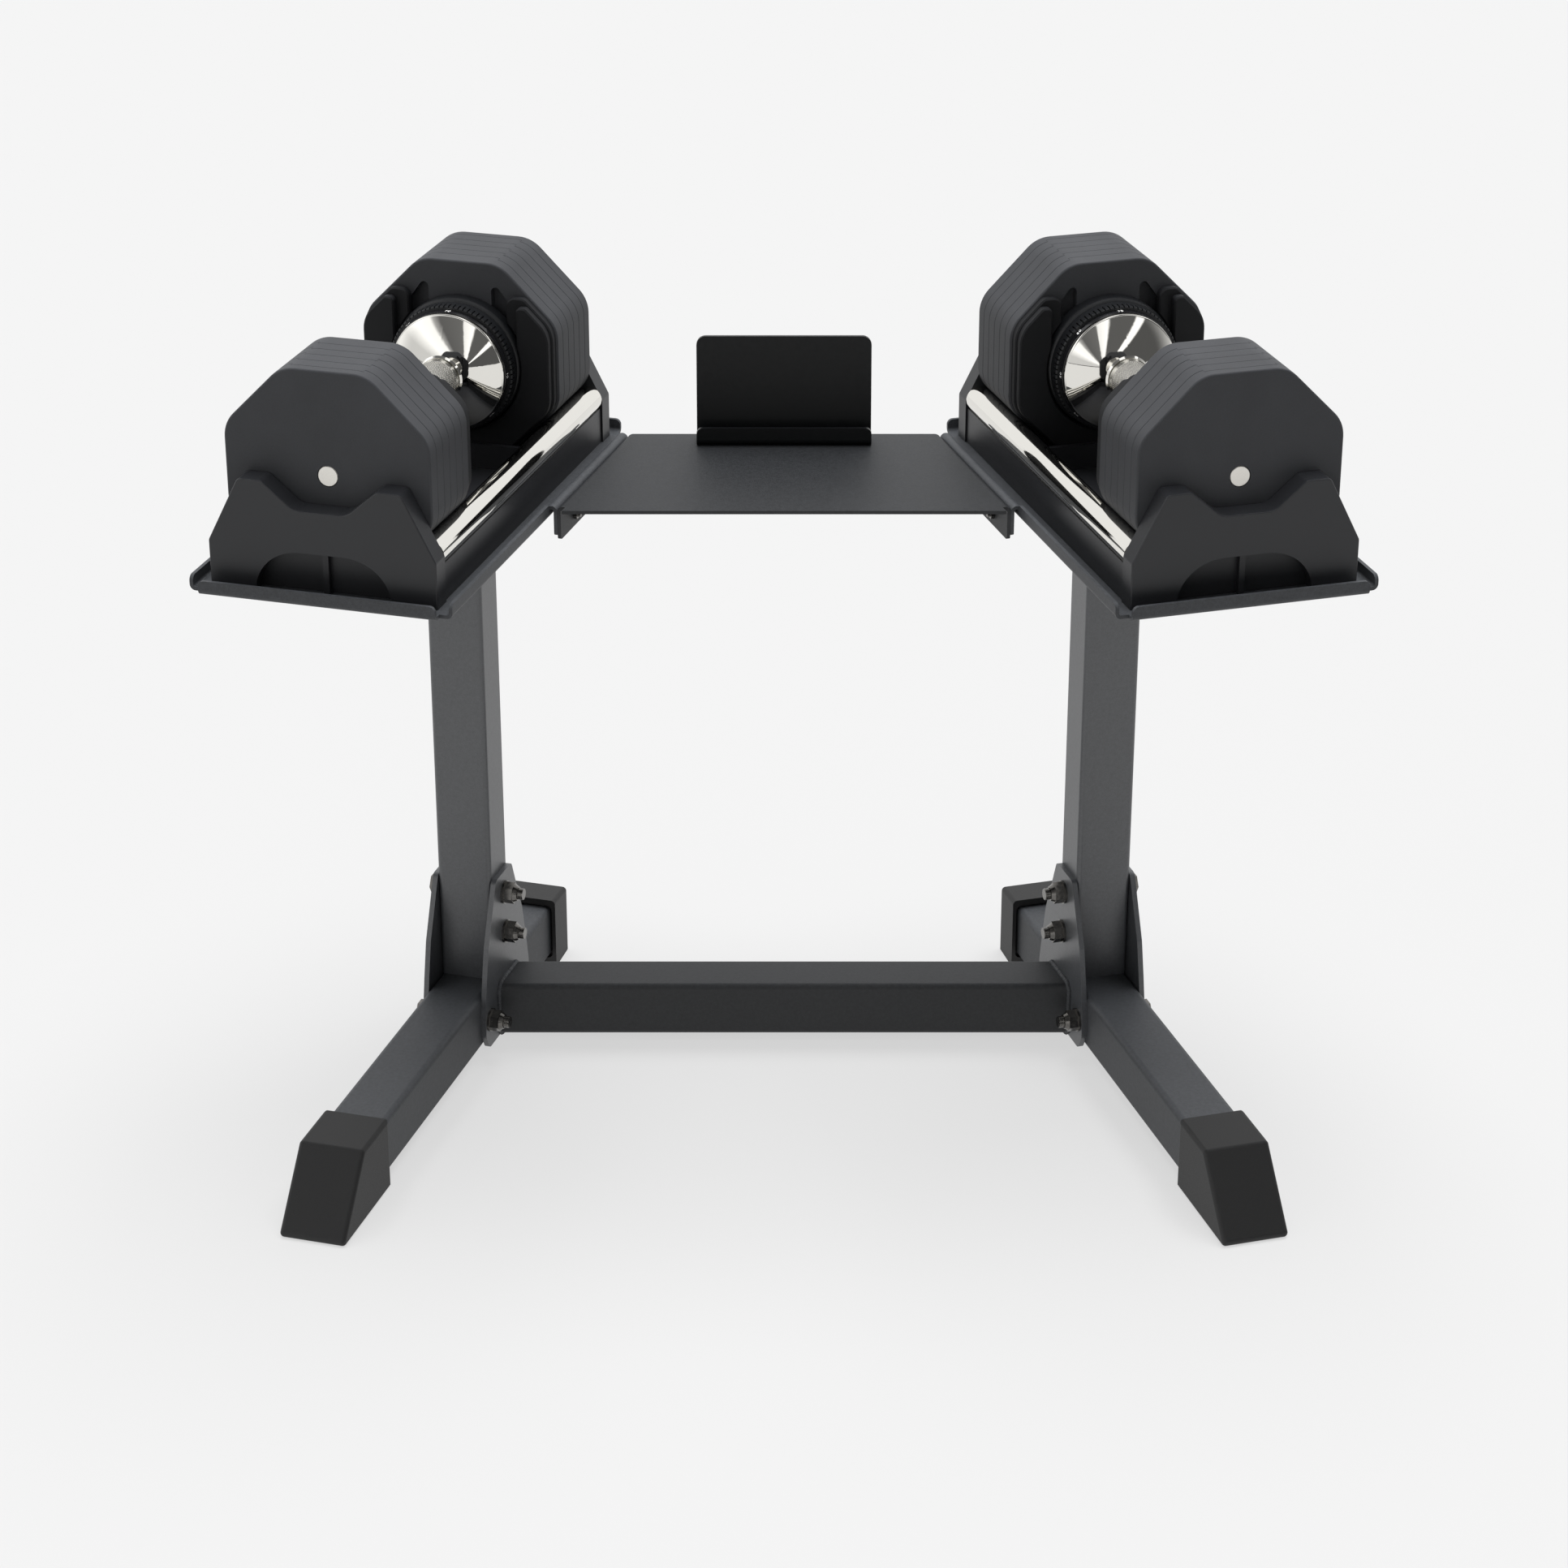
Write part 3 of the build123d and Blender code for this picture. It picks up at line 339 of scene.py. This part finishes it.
def chrome(look):
    """Bright chrome plate with faint polishing haze."""
    finish = Finish("chrome")
    haze = finish.noise(45.0, 3.0)
    colour = finish.tint(haze, darker(look.chrome_colour, 0.97), look.chrome_colour)
    return finish.shade(Base_Color=colour, Metallic=1.0,
                        Roughness=finish.spread(haze, 0.35, 0.65, 0.025, 0.06))


def knurled_chrome(look):
    """The same plate over knurling, dulled in the grooves."""
    finish = Finish("knurled_chrome")
    dust = finish.noise(700.0, 2.0)
    colour = finish.tint(dust, darker(look.chrome_colour, 0.7), darker(look.chrome_colour, 0.95))
    return finish.shade(Base_Color=colour, Metallic=1.0,
                        Roughness=finish.spread(dust, 0.3, 0.7, 0.14, 0.24))


def ground_steel():
    """Lock rods and cam sleeve: ground, with fine rings."""
    finish = Finish("ground_steel")
    grind = finish.noise(900.0, 3.0)
    colour = finish.tint(grind, (0.70, 0.68, 0.63), (0.84, 0.82, 0.77))
    return finish.shade(Base_Color=colour, Metallic=1.0,
                        Roughness=finish.spread(grind, 0.3, 0.7, 0.34, 0.46),
                        Normal=finish.bump(grind, 0.02 * MM))


def studio_floor(look):
    finish = Finish("studio_floor")
    tooth = finish.noise(40.0, 2.0)
    colour = finish.tint(tooth, darker(look.floor_colour, 0.998), look.floor_colour)
    return finish.shade(Base_Color=colour, Roughness=0.9, Specular_IOR_Level=0.0,
                        Emission_Color=(1, 1, 1, 1), Emission_Strength=look.floor_glow)


def paint(node, material):
    """Give a CAD node its finished material."""
    if node not in NODES:
        raise RuntimeError(f"no node {node} in the frame")
    mesh = NODES[node].data
    mesh.materials.clear()
    mesh.materials.append(material)


# ------------------------------------------------------------------ meshes


def new_piece(name, mesh, material, body, replaces=()):
    """Put a finished mesh in the scene as a piece of the object."""
    if not mesh.polygons:
        raise RuntimeError(f"{name} came out empty")
    piece = bpy.data.objects.new(name, mesh)
    bpy.context.scene.collection.objects.link(piece)
    mesh.materials.clear()
    mesh.materials.append(material)
    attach(piece, body)
    if replaces:
        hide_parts(*replaces)
    return piece


def turned(name, profile, steps):
    """Closed ring turned about Y from a closed profile of (distance along Y, radius)."""
    work = bmesh.new()
    rings = []
    for step in range(steps):
        angle = 2 * math.pi * step / steps
        rings.append([work.verts.new((radius * math.cos(angle), y, radius * math.sin(angle)))
                      for y, radius in profile])
    for here, there in zip(rings, rings[1:] + rings[:1]):
        count = len(profile)
        for i in range(count):
            j = (i + 1) % count
            work.faces.new((here[i], there[i], there[j], here[j]))
    bmesh.ops.recalc_face_normals(work, faces=work.faces)
    mesh = bpy.data.meshes.new(name)
    work.to_mesh(mesh)
    work.free()
    return mesh


def through_nodes(mesh, build, inputs):
    """Run a mesh through a Geometry Nodes tree and return the plain result."""
    group = bpy.data.node_groups.new(mesh.name + "_tree", "GeometryNodeTree")
    face = group.interface
    face.new_socket("Geometry", in_out="INPUT", socket_type="NodeSocketGeometry")
    face.new_socket("Geometry", in_out="OUTPUT", socket_type="NodeSocketGeometry")
    sockets = {}
    for label, value in inputs.items():
        kind = "NodeSocketMaterial" if isinstance(value, bpy.types.Material) else "NodeSocketFloat"
        sockets[label] = face.new_socket(label, in_out="INPUT", socket_type=kind).identifier
    build(Graph(group))
    carrier = bpy.data.objects.new(mesh.name + "_carrier", mesh)
    bpy.context.scene.collection.objects.link(carrier)
    modifier = carrier.modifiers.new("rule", "NODES")
    modifier.node_group = group
    for label, identifier in sockets.items():
        modifier[identifier] = inputs[label]
    bpy.context.view_layer.update()
    ready = carrier.evaluated_get(bpy.context.evaluated_depsgraph_get())
    result = bpy.data.meshes.new_from_object(ready)
    bpy.data.objects.remove(carrier)
    bpy.data.node_groups.remove(group)
    return result


def group_ends(graph):
    """The input node's sockets by name, and a function that closes the tree."""
    entry = graph.node("NodeGroupInput")

    def close(geometry, material):
        real = graph.node("GeometryNodeRealizeInstances", {}, {"Geometry": geometry})
        done = graph.node("GeometryNodeSetMaterial", {}, {"Geometry": real, "Material": material})
        graph.node("NodeGroupOutput", {}, {0: done})

    return entry, close


def knurl_tree(graph):
    """Cut two crossing families of spiral grooves into the outside of a turned grip."""
    entry, close = group_ends(graph)
    spot = graph.node("ShaderNodeSeparateXYZ", {}, (graph.node("GeometryNodeInputPosition"),))
    x, y, z = spot, spot.other("Y"), spot.other("Z")
    turn = spot.calc("ARCTAN2", z, x) / (2 * math.pi) * entry.other("Starts")
    climb = y / entry.other("Lead")
    ridges = [family.calc("PINGPONG", family * 2, 1.0) for family in (turn + climb, turn - climb)]
    peak = ridges[0].calc("MINIMUM", ridges[0].calc("MINIMUM", *ridges), PEAK_FLAT)
    radius = (x * x + z * z).calc("SQRT", x * x + z * z, 0.0)
    outside = radius > entry.other("Floor")
    inside_ends = y.calc("ABSOLUTE", y, 0.0) < entry.other("Half length")
    push = (peak / PEAK_FLAT - 1) * entry.other("Depth") * outside * inside_ends
    offset = graph.node("ShaderNodeCombineXYZ", {}, (x / radius * push, 0.0, z / radius * push))
    moved = graph.node("GeometryNodeSetPosition", {}, {"Geometry": entry, "Offset": offset})
    close(moved, entry.other("Material"))


def bead_tree(graph):
    """Lay overlapping flattened beads along every edge of the mesh, as in a weld."""
    entry, close = group_ends(graph)
    curve = graph.node("GeometryNodeMeshToCurve", {}, {"Mesh": entry})
    even = graph.node("GeometryNodeResampleCurve", {}, {"Curve": curve})
    even.link.node.inputs["Count"].default_value = BEADS
    jitter = graph.node("FunctionNodeRandomValue", {"data_type": "FLOAT"},
                        {2: BEAD_SPREAD[0], 3: BEAD_SPREAD[1], "Seed": 7}, output=1)
    ball = graph.node("GeometryNodeMeshIcoSphere", {},
                      {"Radius": entry.other("Bead radius"), "Subdivisions": 2})
    dotted = graph.node("GeometryNodeInstanceOnPoints", {},
                        {"Points": even, "Instance": ball, "Scale": jitter})
    close(dotted, entry.other("Material"))


def thread_tree(graph):
    """Wind a ridge round each point's X axis, as the thread on a bolt's end."""
    entry, close = group_ends(graph)
    wind = graph.node("GeometryNodeCurveSpiral", {}, {
        "Resolution": 20, "Rotations": entry.other("Turns"), "Start Radius": entry.other("Radius"),
        "End Radius": entry.other("Radius"), "Height": entry.other("Length"), "Reverse": False})
    crest = graph.node("GeometryNodeCurvePrimitiveCircle", {"mode": "RADIUS"},
                       {"Resolution": 4, "Radius": entry.other("Ridge")})
    ridge = graph.node("GeometryNodeCurveToMesh", {}, {"Curve": wind, "Profile Curve": crest,
                                                       "Fill Caps": True})
    laid = graph.node("GeometryNodeTransform", {}, {"Geometry": ridge,
                                                    "Rotation": (0.0, math.pi / 2, 0.0)})
    placed = graph.node("GeometryNodeInstanceOnPoints", {}, {"Points": entry, "Instance": laid})
    close(placed, entry.other("Material"))


def smooth(mesh):
    for polygon in mesh.polygons:
        polygon.use_smooth = True


# ------------------------------------------------------------------ settings


class StandLook(bpy.types.PropertyGroup):
    """Colours and grain of the stand."""
    colour: bpy.props.FloatVectorProperty(
        name="Powder coat", description="Colour of the powder coat", subtype="COLOR",
        default=(0.031, 0.033, 0.0365), min=0, max=1)
    holder_colour: bpy.props.FloatVectorProperty(
        name="Device holder", description="Colour of the device holder", subtype="COLOR",
        default=(0.003, 0.0034, 0.0038), min=0, max=1)
    cap_colour: bpy.props.FloatVectorProperty(
        name="Foot caps", description="Colour of the foot caps", subtype="COLOR",
        default=(0.005, 0.005, 0.0052), min=0, max=1)
    grain_scale: bpy.props.FloatProperty(
        name="Grain", description="Grains of powder coat in a metre", default=1100.0, min=10)
    grain_height: bpy.props.FloatProperty(
        name="Grain height", description="Height of the grain in millimetres", default=0.10,
        min=0)
    bead_radius: bpy.props.FloatProperty(
        name="Weld bead", description="Radius of one weld ripple", default=2.7 * MM,
        unit="LENGTH")
    nut_stack: bpy.props.FloatProperty(
        name="Nut stack", description="From the gusset's face to the outer end of the nut",
        default=13.7 * MM, unit="LENGTH")
    thread_length: bpy.props.FloatProperty(
        name="Thread length", description="Thread standing out of a nut", default=4.4 * MM,
        unit="LENGTH")
    thread_pitch: bpy.props.FloatProperty(
        name="Thread pitch", description="Rise of a thread in one turn", default=1.5 * MM,
        unit="LENGTH")


class CradleLook(bpy.types.PropertyGroup):
    """Colours of the cradles and rails."""
    colour: bpy.props.FloatVectorProperty(
        name="Shell", description="Colour of the moulded cradle", subtype="COLOR",
        default=(0.013, 0.0136, 0.0155), min=0, max=1)


class WeightLook(bpy.types.PropertyGroup):
    """Colour of the weights."""
    colour: bpy.props.FloatVectorProperty(
        name="Weights", description="Colour of the plates' coat", subtype="COLOR",
        default=(0.027, 0.0282, 0.0315), min=0, max=1)


class HandleLook(bpy.types.PropertyGroup):
    """Chrome, knurling and figures of the handles."""
    chrome_colour: bpy.props.FloatVectorProperty(
        name="Chrome", description="Colour of the chrome", subtype="COLOR",
        default=(0.80, 0.785, 0.74), min=0, max=1)
    knurl_starts: bpy.props.FloatProperty(
        name="Knurl starts", description="Grooves round the grip", default=60, min=8)
    knurl_lead: bpy.props.FloatProperty(
        name="Knurl pitch", description="Distance along the grip from groove to groove",
        default=2.8 * MM, unit="LENGTH")
    knurl_depth: bpy.props.FloatProperty(
        name="Knurl depth", description="Depth of the grooves", default=0.55 * MM, unit="LENGTH")
    figure_height: bpy.props.FloatProperty(
        name="Figures", description="Height of the figures", default=3.4 * MM, unit="LENGTH")
    heaviest: bpy.props.IntProperty(
        name="Heaviest", description="Figure shown with every plate on; an example value",
        default=70)
    figure_step: bpy.props.IntProperty(
        name="Step", description="Difference from one figure to the next", default=10)


class StudioLook(bpy.types.PropertyGroup):
    """Camera, floor and light."""
    floor_colour: bpy.props.FloatVectorProperty(
        name="Floor", description="Colour of the studio floor", subtype="COLOR",
        default=(0.108, 0.108, 0.108), min=0, max=1)
    floor_glow: bpy.props.FloatProperty(
        name="Floor glow", description="Light given off by the floor itself", default=0.60)
    focal_length: bpy.props.FloatProperty(
        name="Focal length", description="Focal length on a 36 mm wide frame, millimetres",
        default=88.51)
    camera_distance: bpy.props.FloatProperty(
        name="Camera distance", description="Camera in front of the uprights",
        default=3.0875, unit="LENGTH")
    camera_height: bpy.props.FloatProperty(
        name="Camera height", description="Camera above the floor", default=1.6757,
        unit="LENGTH")
    camera_pitch: bpy.props.FloatProperty(
        name="Camera pitch", description="How far the camera looks down",
        default=math.radians(24.92), subtype="ANGLE")
    sky_strength: bpy.props.FloatProperty(
        name="Surround", description="Strength of the white surround", default=1.0)
    key_strength: bpy.props.FloatProperty(
        name="Overhead light", description="Strength of the overhead light", default=7.0)


# ------------------------------------------------------------------ operators


class FinishStand(bpy.types.Operator):
    """Paint the frame, trays, shelf, holder, foot caps and fasteners"""
    bl_idname = "dumbbells.finish_stand"
    bl_label = "Finish Stand"

    def execute(self, context):
        look = context.scene.stand_look
        coat = powder_coat(look)
        caps = foot_plastic(look)
        # painted light: the uprights, their top plates and gussets get a lighter, glossier copy of
        # the coat to stand in for how light falls on them
        smooth_painted_light_coat = powder_coat(look, "powder_coat_smooth", 1.25, 0.58)
        # painted shade: the crossbar gets a darker copy of the coat to stand in for the shade low
        # under the stand
        paint("crossbar", powder_coat(look, "powder_coat_low", 0.42))
        # painted shade: the shelf gets a darker copy of the coat to stand in for shade
        paint("shelf", powder_coat(look, "powder_coat_shelf", 0.4))
        for side in SIDES:
            for part in ("leg", "tray"):
                paint(f"{side}_{part}", coat)
            for part in ("upright", "upright_top_plate", "inner_gusset", "outer_gusset"):
                paint(f"{side}_{part}", smooth_painted_light_coat)
            for part in ("front_foot_cap", "rear_foot_cap"):
                paint(f"{side}_{part}", caps)
        paint("device_holder", satin_coat(look))
        zinc = black_zinc()
        for fastener in ("frame_bolts", "frame_lock_nuts", "frame_washers", "shelf_screws",
                         "tray_screws", "holder_screws", "cradle_screws"):
            paint(fastener, zinc)
        return {"FINISHED"}


class FinishCradles(bpy.types.Operator):
    """Paint the cradles and their rails"""
    bl_idname = "dumbbells.finish_cradles"
    bl_label = "Finish Cradles"

    def execute(self, context):
        shell = cradle_plastic(context.scene.cradle_look)
        bright = chrome(context.scene.handle_look)
        for side in SIDES:
            paint(f"{side}_cradle", shell)
            paint(f"{side}_cradle_rails", bright)
        return {"FINISHED"}


class FinishWeights(bpy.types.Operator):
    """Paint the weight plates and the wing weights"""
    bl_idname = "dumbbells.finish_weights"
    bl_label = "Finish Weights"

    def execute(self, context):
        look = context.scene.weight_look
        coat = weight_coat(look)
        # painted shade: the wing weights get a darker copy of the coat, for the shade between the
        # bells and the plates
        painted_shade_coat = weight_coat(look, "weight_coat_shaded", 0.3)
        for node in NODES:
            if "weight" in node:
                paint(node, painted_shade_coat if "wing" in node else coat)
        return {"FINISHED"}


class FinishHubs(bpy.types.Operator):
    """Paint hubs, rings, bells, rods and sleeves"""
    bl_idname = "dumbbells.finish_hubs"
    bl_label = "Finish Hubs"

    def execute(self, context):
        flat = hub_coat()
        gloss = gloss_black()
        bright = chrome(context.scene.handle_look)
        steel = ground_steel()
        for side in SIDES:
            paint(f"{side}_hub_collars", flat)
            paint(f"{side}_index_rings", flat)
            paint(f"{side}_number_rings", gloss)
            paint(f"{side}_handle_bells", bright)
            for part in ("cam_sleeve", "front_lock_rod", "rear_lock_rod"):
                paint(f"{side}_{part}", steel)
        return {"FINISHED"}


class BuildGrips(bpy.types.Operator):
    """Turn and knurl both grips"""
    bl_idname = "dumbbells.build_grips"
    bl_label = "Build Grips"

    def execute(self, context):
        look = context.scene.handle_look
        material = knurled_chrome(look)
        for side in SIDES:
            place = axle_matrix(side)
            high = reach(f"{side}_grip", place)[1]
            half, radius = high.y, high.x - GRIP_BEAD
            bore = radius - GRIP_WALL
            knurled = half - GRIP_PLAIN
            body = [(knurled * (2 * i / GRIP_ROWS - 1), radius) for i in range(GRIP_ROWS + 1)]
            ends = [(half - GRIP_BEAD_START, radius + GRIP_BEAD), (half - MM, radius + GRIP_BEAD),
                    (half, radius - GRIP_BEAD), (half, bore)]
            profile = [(-y, r) for y, r in reversed(ends)] + body + ends
            blank = turned(f"{side}_grip_blank", profile, GRIP_STEPS)
            mesh = through_nodes(blank, knurl_tree, {
                "Starts": look.knurl_starts, "Lead": look.knurl_lead,
                "Depth": look.knurl_depth, "Floor": radius - MM,
                "Half length": knurled - MM, "Material": material})
            mesh.transform(place)
            smooth(mesh)
            new_piece(f"{side}_knurled_grip", mesh, material, f"{side}_handle",
                      [f"{side}_grip"])
        return {"FINISHED"}


class BuildFigures(bpy.types.Operator):
    """Print the weight figures round the number rings"""
    bl_idname = "dumbbells.build_figures"
    bl_label = "Build Figures"

    def execute(self, context):
        look = context.scene.handle_look
        ink = figure_paint()
        twist = math.radians(JOINTS["left_handle_twist"]["range_deg"][1])
        settings = 1 + round(twist / SETTING_ANGLE)
        for side in SIDES:
            place = axle_matrix(side)
            high = reach(f"{side}_number_rings", place)[1]
            middle = high.y - FIGURE_INSET
            work = bmesh.new()
            for end in (-1, 1):
                for step in range(settings):
                    label = str(look.heaviest - step * look.figure_step)
                    angle = -SETTING_ANGLE * step
                    add_figure(work, label, look.figure_height, high.x, end * middle, angle)
            mesh = bpy.data.meshes.new(f"{side}_figures")
            work.to_mesh(mesh)
            work.free()
            mesh.transform(place)
            new_piece(f"{side}_figures", mesh, ink, f"{side}_handle")
        return {"FINISHED"}


def add_figure(work, label, height, radius, middle, angle):
    """Wrap a number onto the ring, its foot towards the front, at an angle from the top."""
    curve = bpy.data.curves.new("figure", "FONT")
    curve.body = label
    curve.size = height / FIGURE_CAP
    curve.align_x = "CENTER"
    curve.align_y = "CENTER"
    curve.extrude = FIGURE_RELIEF
    curve.space_character = FIGURE_SPACING
    holder = bpy.data.objects.new("figure", curve)
    bpy.context.scene.collection.objects.link(holder)
    bpy.context.view_layer.update()
    flat = bpy.data.meshes.new_from_object(holder.evaluated_get(
        bpy.context.evaluated_depsgraph_get()))
    for vertex in flat.vertices:
        x, y, z = vertex.co
        around = angle + x / radius
        out = radius + z
        vertex.co = (out * math.sin(around), middle + y, out * math.cos(around))
    work.from_mesh(flat)
    bpy.data.objects.remove(holder)
    bpy.data.curves.remove(curve)
    bpy.data.meshes.remove(flat)


class BuildThreads(bpy.types.Operator):
    """Wind the threads on the ends of the frame bolts"""
    bl_idname = "dumbbells.build_threads"
    bl_label = "Build Threads"

    def execute(self, context):
        look = context.scene.stand_look
        zinc = black_zinc()
        for side in SIDES:
            place = foot_matrix(side)
            sign = inward(side)
            low, high = reach(f"{side}_inner_gusset", place)
            nut_end = max(sign * low.x, sign * high.x) + look.nut_stack
            start = nut_end if sign > 0 else -nut_end - look.thread_length
            spots = bpy.data.meshes.new(f"{side}_bolt_ends")
            spots.from_pydata([(start, v, z) for v, z in BOLT_SPOTS], [], [])
            mesh = through_nodes(spots, thread_tree, {
                "Turns": look.thread_length / look.thread_pitch, "Radius": BOLT_RADIUS,
                "Length": look.thread_length, "Ridge": RIDGE_SHARE * look.thread_pitch,
                "Material": zinc})
            mesh.transform(place)
            smooth(mesh)
            new_piece(f"{side}_bolt_threads", mesh, zinc, "stand")
        return {"FINISHED"}


class BuildWelds(bpy.types.Operator):
    """Lay the weld beads where the crossbar meets the gussets"""
    bl_idname = "dumbbells.build_welds"
    bl_label = "Build Welds"

    def execute(self, context):
        look = context.scene.stand_look
        coat = powder_coat(look)
        for side in SIDES:
            place = foot_matrix(side)
            sign = inward(side)
            low, high = reach(f"{side}_inner_gusset", place)
            face = sign * max(sign * low.x, sign * high.x)
            bar_low, bar_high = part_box("crossbar")
            back = place.inverted()
            bar_way = back.to_3x3() @ Vector((1, 0, 0))
            # Where the bar's front and rear faces meet the gusset's face.
            edges = []
            for bar_y in (bar_low.y, bar_high.y):
                here = back @ Vector((0, bar_y, 0))
                edges.append(here.y + bar_way.y * (face - here.x) / bar_way.x)
            lower, upper = bar_low.z, bar_high.z
            corners = [(edges[0], lower + WELD_CORNER), (edges[0], upper - WELD_CORNER),
                       (edges[0] + WELD_CORNER, upper), (edges[1] - WELD_CORNER, upper),
                       (edges[1], upper - WELD_CORNER), (edges[1], lower + WELD_CORNER),
                       (edges[1] - WELD_CORNER, lower), (edges[0] + WELD_CORNER, lower)]
            work = bmesh.new()
            ring = [work.verts.new((face + sign * WELD_LIFT, y, z)) for y, z in corners]
            for first, second in zip(ring, ring[1:] + ring[:1]):
                work.edges.new((first, second))
            path = bpy.data.meshes.new(f"{side}_weld_path")
            work.to_mesh(path)
            work.free()
            mesh = through_nodes(path, bead_tree, {"Bead radius": look.bead_radius,
                                                   "Material": coat})
            mesh.transform(place)
            smooth(mesh)
            new_piece(f"{side}_weld_beads", mesh, coat, "stand")
        return {"FINISHED"}


class BuildStudio(bpy.types.Operator):
    """Set the floor, the light and the camera"""
    bl_idname = "dumbbells.build_studio"
    bl_label = "Build Studio"

    def execute(self, context):
        look = context.scene.studio_look
        scene = context.scene
        mesh = bpy.data.meshes.new("studio_floor")
        mesh.from_pydata([(-FLOOR_HALF, -FLOOR_HALF, 0), (FLOOR_HALF, -FLOOR_HALF, 0),
                          (FLOOR_HALF, FLOOR_HALF, 0), (-FLOOR_HALF, FLOOR_HALF, 0)],
                         [], [(0, 1, 2, 3)])
        mesh.materials.append(studio_floor(look))
        floor = bpy.data.objects.new("studio_floor", mesh)
        scene.collection.objects.link(floor)

        world = bpy.data.worlds.new("studio_surround")
        world.use_nodes = True
        graph = Graph(world.node_tree)
        graph.tree.nodes.clear()
        toward = graph.node("ShaderNodeTexCoord", output="Generated")
        parts = graph.node("ShaderNodeSeparateXYZ", {}, (toward,))
        depth, height = parts.other("Y"), parts.other("Z")
        round_axle = depth.calc("ARCTAN2", height, parts) / math.pi
        # Angle from the right (0) over the top (0.5) to the left (1).
        strips = graph.node("ShaderNodeValToRGB", {"stops": [
            (0.0, 0.0), (0.20, 0.0), (0.21, 1.0), (0.25, 1.0), (0.26, 0.02), (0.42, 0.02),
            (0.44, 1.0), (0.53, 0.8), (0.54, 0.06), (0.70, 0.03), (0.74, 0.3), (0.76, 0.9),
            (0.84, 1.0), (0.92, 0.5)]}, (round_axle,))
        ahead = graph.node("ShaderNodeMapRange", {"interpolation_type": "SMOOTHSTEP"}, {
            "Value": depth, "From Min": 0.2, "From Max": 0.5, "To Min": 1.3, "To Max": 0.0})
        behind = graph.node("ShaderNodeMapRange", {"interpolation_type": "SMOOTHSTEP"}, {
            "Value": depth, "From Min": -0.15, "From Max": 0.7, "To Min": 0.10, "To Max": 1.0})
        surround = graph.node("ShaderNodeBackground", {}, {
            "Color": (1, 1, 1, 1), "Strength": (strips * ahead + behind) * look.sky_strength})
        graph.node("ShaderNodeOutputWorld", {}, {"Surface": surround})
        scene.world = world

        key_data = bpy.data.lights.new("overhead_light", "SUN")
        key_data.energy = look.key_strength
        key_data.angle = math.radians(55)
        key = bpy.data.objects.new("overhead_light", key_data)
        key.rotation_euler = (math.radians(-12), math.radians(4), 0)
        key.visible_glossy = False
        scene.collection.objects.link(key)

        camera_data = bpy.data.cameras.new("camera")
        camera_data.lens = look.focal_length
        camera_data.sensor_width = 36
        camera = bpy.data.objects.new("camera", camera_data)
        uprights = foot_matrix("left").translation.y
        camera.location = (0, uprights - look.camera_distance, look.camera_height)
        camera.rotation_euler = (math.pi / 2 - look.camera_pitch, 0, 0)
        scene.collection.objects.link(camera)
        scene.camera = camera
        scene.view_settings.view_transform = "Standard"
        return {"FINISHED"}


class StandPanel(bpy.types.Panel):
    """The steps in order, in the 3D view's sidebar"""
    bl_idname = "VIEW3D_PT_dumbbells"
    bl_label = "Dumbbell Stand"
    bl_space_type = "VIEW_3D"
    bl_region_type = "UI"
    bl_category = "Dumbbells"

    def draw(self, context):
        for group in LOOKS:
            look = getattr(context.scene, group)
            box = self.layout.box()
            for name in look.bl_rna.properties.keys():
                if name not in ("rna_type", "name"):
                    box.prop(look, name)
        for step in STEPS:
            self.layout.operator(step.bl_idname)


LOOKS = {"stand_look": StandLook, "cradle_look": CradleLook, "weight_look": WeightLook,
         "handle_look": HandleLook, "studio_look": StudioLook}
STEPS = (FinishStand, FinishCradles, FinishWeights, FinishHubs, BuildGrips, BuildFigures,
         BuildThreads, BuildWelds, BuildStudio)


def register():
    for group in LOOKS.values():
        bpy.utils.register_class(group)
    for name, group in LOOKS.items():
        setattr(bpy.types.Scene, name, bpy.props.PointerProperty(type=group))
    for step in (*STEPS, StandPanel):
        bpy.utils.register_class(step)


def unregister():
    for step in (StandPanel, *reversed(STEPS)):
        bpy.utils.unregister_class(step)
    for name, group in LOOKS.items():
        delattr(bpy.types.Scene, name)
        bpy.utils.unregister_class(group)


def main():
    register()
    for step in STEPS:
        category, name = step.bl_idname.split(".")
        getattr(getattr(bpy.ops, category), name)()


if __name__ == "__main__":
    main()
